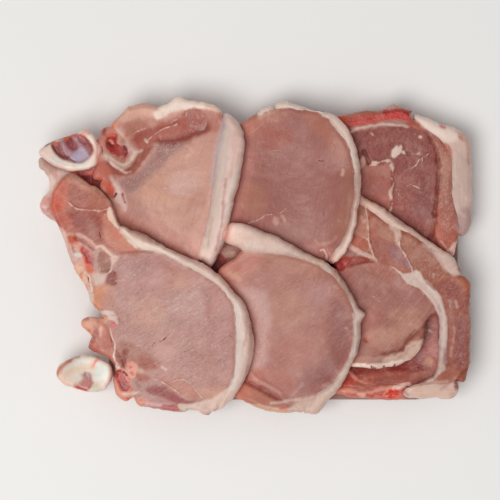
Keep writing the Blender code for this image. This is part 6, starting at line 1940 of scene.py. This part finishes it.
@dataclass
class UnderLeftPiece(Slab):
    """The edge of a fat piece that shows under the chops at the far left."""

    title: str = "under_left"
    seed: int = 20
    # Only a weak painted lift of light near the chops above.
    painted_lift: float = 0.1
    parts: tuple[Part, ...] = (fat("under_chop_left", (230, 206, 196), FatFinish(grain=95), edge_round=3.0),)
    patches: tuple[Patch, ...] = (
        area((192, 162, 151), (-156, 78), (-142, 70), (-136, 62), (-148, 56), (-158, 60), soft=4, strength=0.85),
        line((228, 168, 162), 2.6, (-142, 58), (-140, 56), soft=2.4, strength=0.8),
        area((220, 172, 164), (-156, 42), (-146, 42), (-140, 30), (-144, 24), (-154, 28), soft=2.5, strength=0.9),
        area((240, 208, 202), (-149, 35), (-145, 36), (-143.6, 32), (-146, 30), (-149, 32), soft=1.8, strength=0.85, relief=0.5),
        line((226, 150, 146), 1.6, (-149, 38), (-145.6, 40), soft=1.6, strength=0.7),
        line((196, 134, 128), 1.4, (-149.6, 33), (-147, 31), (-145, 33.6), soft=1.4, strength=0.7, relief=-0.4),
        line((176, 152, 152), 2, (-150, 28.6), (-145, 27), soft=2, strength=0.7),
        # Painted shade: the dark red of the deep gap under the rib and its darker core, painted bright so that the
        # gap's own shadow brings them down to dark red.
        area((236, 44, 26), (-130, 60), (-114, 61), (-110, 57), (-106, 53), (-112, 49), (-116, 48), (-120, 53), (-126, 55), soft=2, strength=0.95),
        area((255, 112, 92), (-127, 59.4), (-119, 60.4), (-113, 60), (-116, 57.4), (-124, 57), soft=1.8, strength=0.9, wet=0.5),
        area((150, 4, 0), (-122, 56.6), (-114, 56), (-108.4, 53.4), (-112, 52), (-118, 54), soft=1.8, strength=0.9),
    )


@dataclass
class UnderMiddlePiece(Slab):
    """The bit of a chop that shows between the two rows."""

    title: str = "under_middle"
    seed: int = 21
    parts: tuple[Part, ...] = (
        lean("under_chop_middle", (238, 176, 158), LeanFinish(grain=10, blotch=0.22)),
    )
    patches: tuple[Patch, ...] = (
        area((176, 124, 116), (-24, 12), (-14, 9), (-8, 4), (-12, 2), (-22, 6), soft=2.5, strength=0.8),
        area((216, 180, 156), (-19, 2), (-14, 3.4), (-12, 0), (-16, -2), (-20, -0.4), soft=1.6, strength=0.9, relief=0.3),
        glints((226, 196, 180), (-22, 8), (-14, 6), (-12, -1), (-20, -2), soft=2, strength=0.9),
        line((150, 92, 84), 1.6, (-20, -2.4), (-16, -2.8), (-13, -2), soft=1.6, strength=0.8, relief=-0.4),
        # Painted shade: a dark red rim and a near-black core where the hole between the chops goes down.
        area((170, 60, 48), (-30, 6), (-25, 2), (-21, -2), (-20, -7), (-26, -14), (-36, -10), soft=3, strength=0.95),
        area((140, 6, 2), (-34, -2), (-28, -1), (-24, -5), (-25, -12), (-32, -13), soft=2.6, strength=0.95),
    )


@dataclass
class FoamTray:
    """The shallow foam tray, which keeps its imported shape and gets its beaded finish."""

    node: str = "tray"
    finish: FoamFinish = FoamFinish()

    def build(self, nodes: dict[str, bpy.types.Object]) -> None:
        """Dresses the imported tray."""
        mesh = nodes[self.node].data
        material = self.finish.material("tray_finish")
        if mesh.materials:
            mesh.materials[0] = material
        else:
            mesh.materials.append(material)
        log.info("%s: dressed", self.node)


@dataclass
class Studio:
    """Floor, soft light and a camera that looks straight down."""

    view_centre: Point = (-3.85, 4.2)
    view_width: float = 350.0
    view_height: float = 30.0
    lens: float = 200.0
    sensor: float = 36.0
    floor_size: float = 6.0
    key_place: tuple[float, float, float] = (-0.70, -0.58, 2.05)
    key_power: float = 27.5
    key_size: float = 1.5
    fill_strength: float = 0.40

    def build(self) -> None:
        """Builds everything that isn't the object."""
        self.build_floor()
        self.build_lights()
        self.build_camera()

    def build_floor(self) -> None:
        """A wide pale sheet with a soft swell at its far rim."""
        count, half = 24, self.floor_size / 2
        side = np.linspace(-half, half, count)
        gx, gy = np.meshgrid(side, side, indexing="ij")
        rise = 0.05 * np.clip((np.hypot(gx, gy) - 1.8), 0, None) ** 2
        verts = np.column_stack([gx.ravel(), gy.ravel(), rise.ravel() - 0.2 * MM])
        cells = [(i * count + j, (i + 1) * count + j, (i + 1) * count + j + 1, i * count + j + 1) for i in range(count - 1) for j in range(count - 1)]
        mesh = bpy.data.meshes.new("studio_floor")
        mesh.from_pydata(verts.tolist(), [], cells)
        mesh.shade_smooth()
        mesh.materials.append(FloorFinish().material("floor_finish"))
        floor = bpy.data.objects.new("studio_floor", mesh)
        bpy.context.scene.collection.objects.link(floor)

    def build_lights(self) -> None:
        """One large soft lamp from the near left and an even pale surround."""
        world = bpy.data.worlds.new("studio_air")
        bpy.context.scene.world = world
        world.use_nodes = True
        air = world.node_tree.nodes["Background"]
        air.inputs["Color"].default_value = (1.0, 0.985, 0.97, 1.0)
        air.inputs["Strength"].default_value = self.fill_strength
        lamp = bpy.data.lights.new("key_lamp", "AREA")
        lamp.shape = "DISK"
        lamp.size = self.key_size
        lamp.energy = self.key_power
        lamp.color = (1.0, 0.98, 0.95)
        holder = bpy.data.objects.new("key_lamp", lamp)
        holder.location = self.key_place
        holder.rotation_euler = (Vector((0, 0, 0)) - Vector(holder.location)).to_track_quat("-Z", "Y").to_euler()
        bpy.context.scene.collection.objects.link(holder)

    def build_camera(self) -> None:
        """A long lens, straight above."""
        lens = bpy.data.cameras.new("camera")
        lens.lens, lens.sensor_width = self.lens, self.sensor
        lens.clip_start, lens.clip_end = 0.05, 20.0
        camera = bpy.data.objects.new("camera", lens)
        rise = self.view_width * self.lens / self.sensor + self.view_height
        camera.location = (self.view_centre[0] * MM, self.view_centre[1] * MM, rise * MM)
        bpy.context.scene.collection.objects.link(camera)
        bpy.context.scene.camera = camera
        bpy.context.scene.view_settings.view_transform = "Standard"


def main() -> None:
    """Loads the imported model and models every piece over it."""
    logging.basicConfig(level=logging.INFO, format="%(name)s: %(message)s")
    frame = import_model()
    nodes = frame["nodes"]
    FoamTray().build(nodes)
    kinds = (
        UnderLeftPiece,
        UnderMiddlePiece,
        LowerRightChop,
        UpperRightChop,
        FlankChop,
        UpperMiddleChop,
        LowerMiddleChop,
        UpperRib,
        LowerRib,
        UpperLeftChop,
        LowerLeftChop,
    )
    slabs = [kind() for kind in kinds]
    for slab in slabs:
        slab.trace(nodes)
    for k, slab in enumerate(slabs):
        slab.build(slabs[k + 1 :])
    Studio().build()


if __name__ == "__main__":
    main()
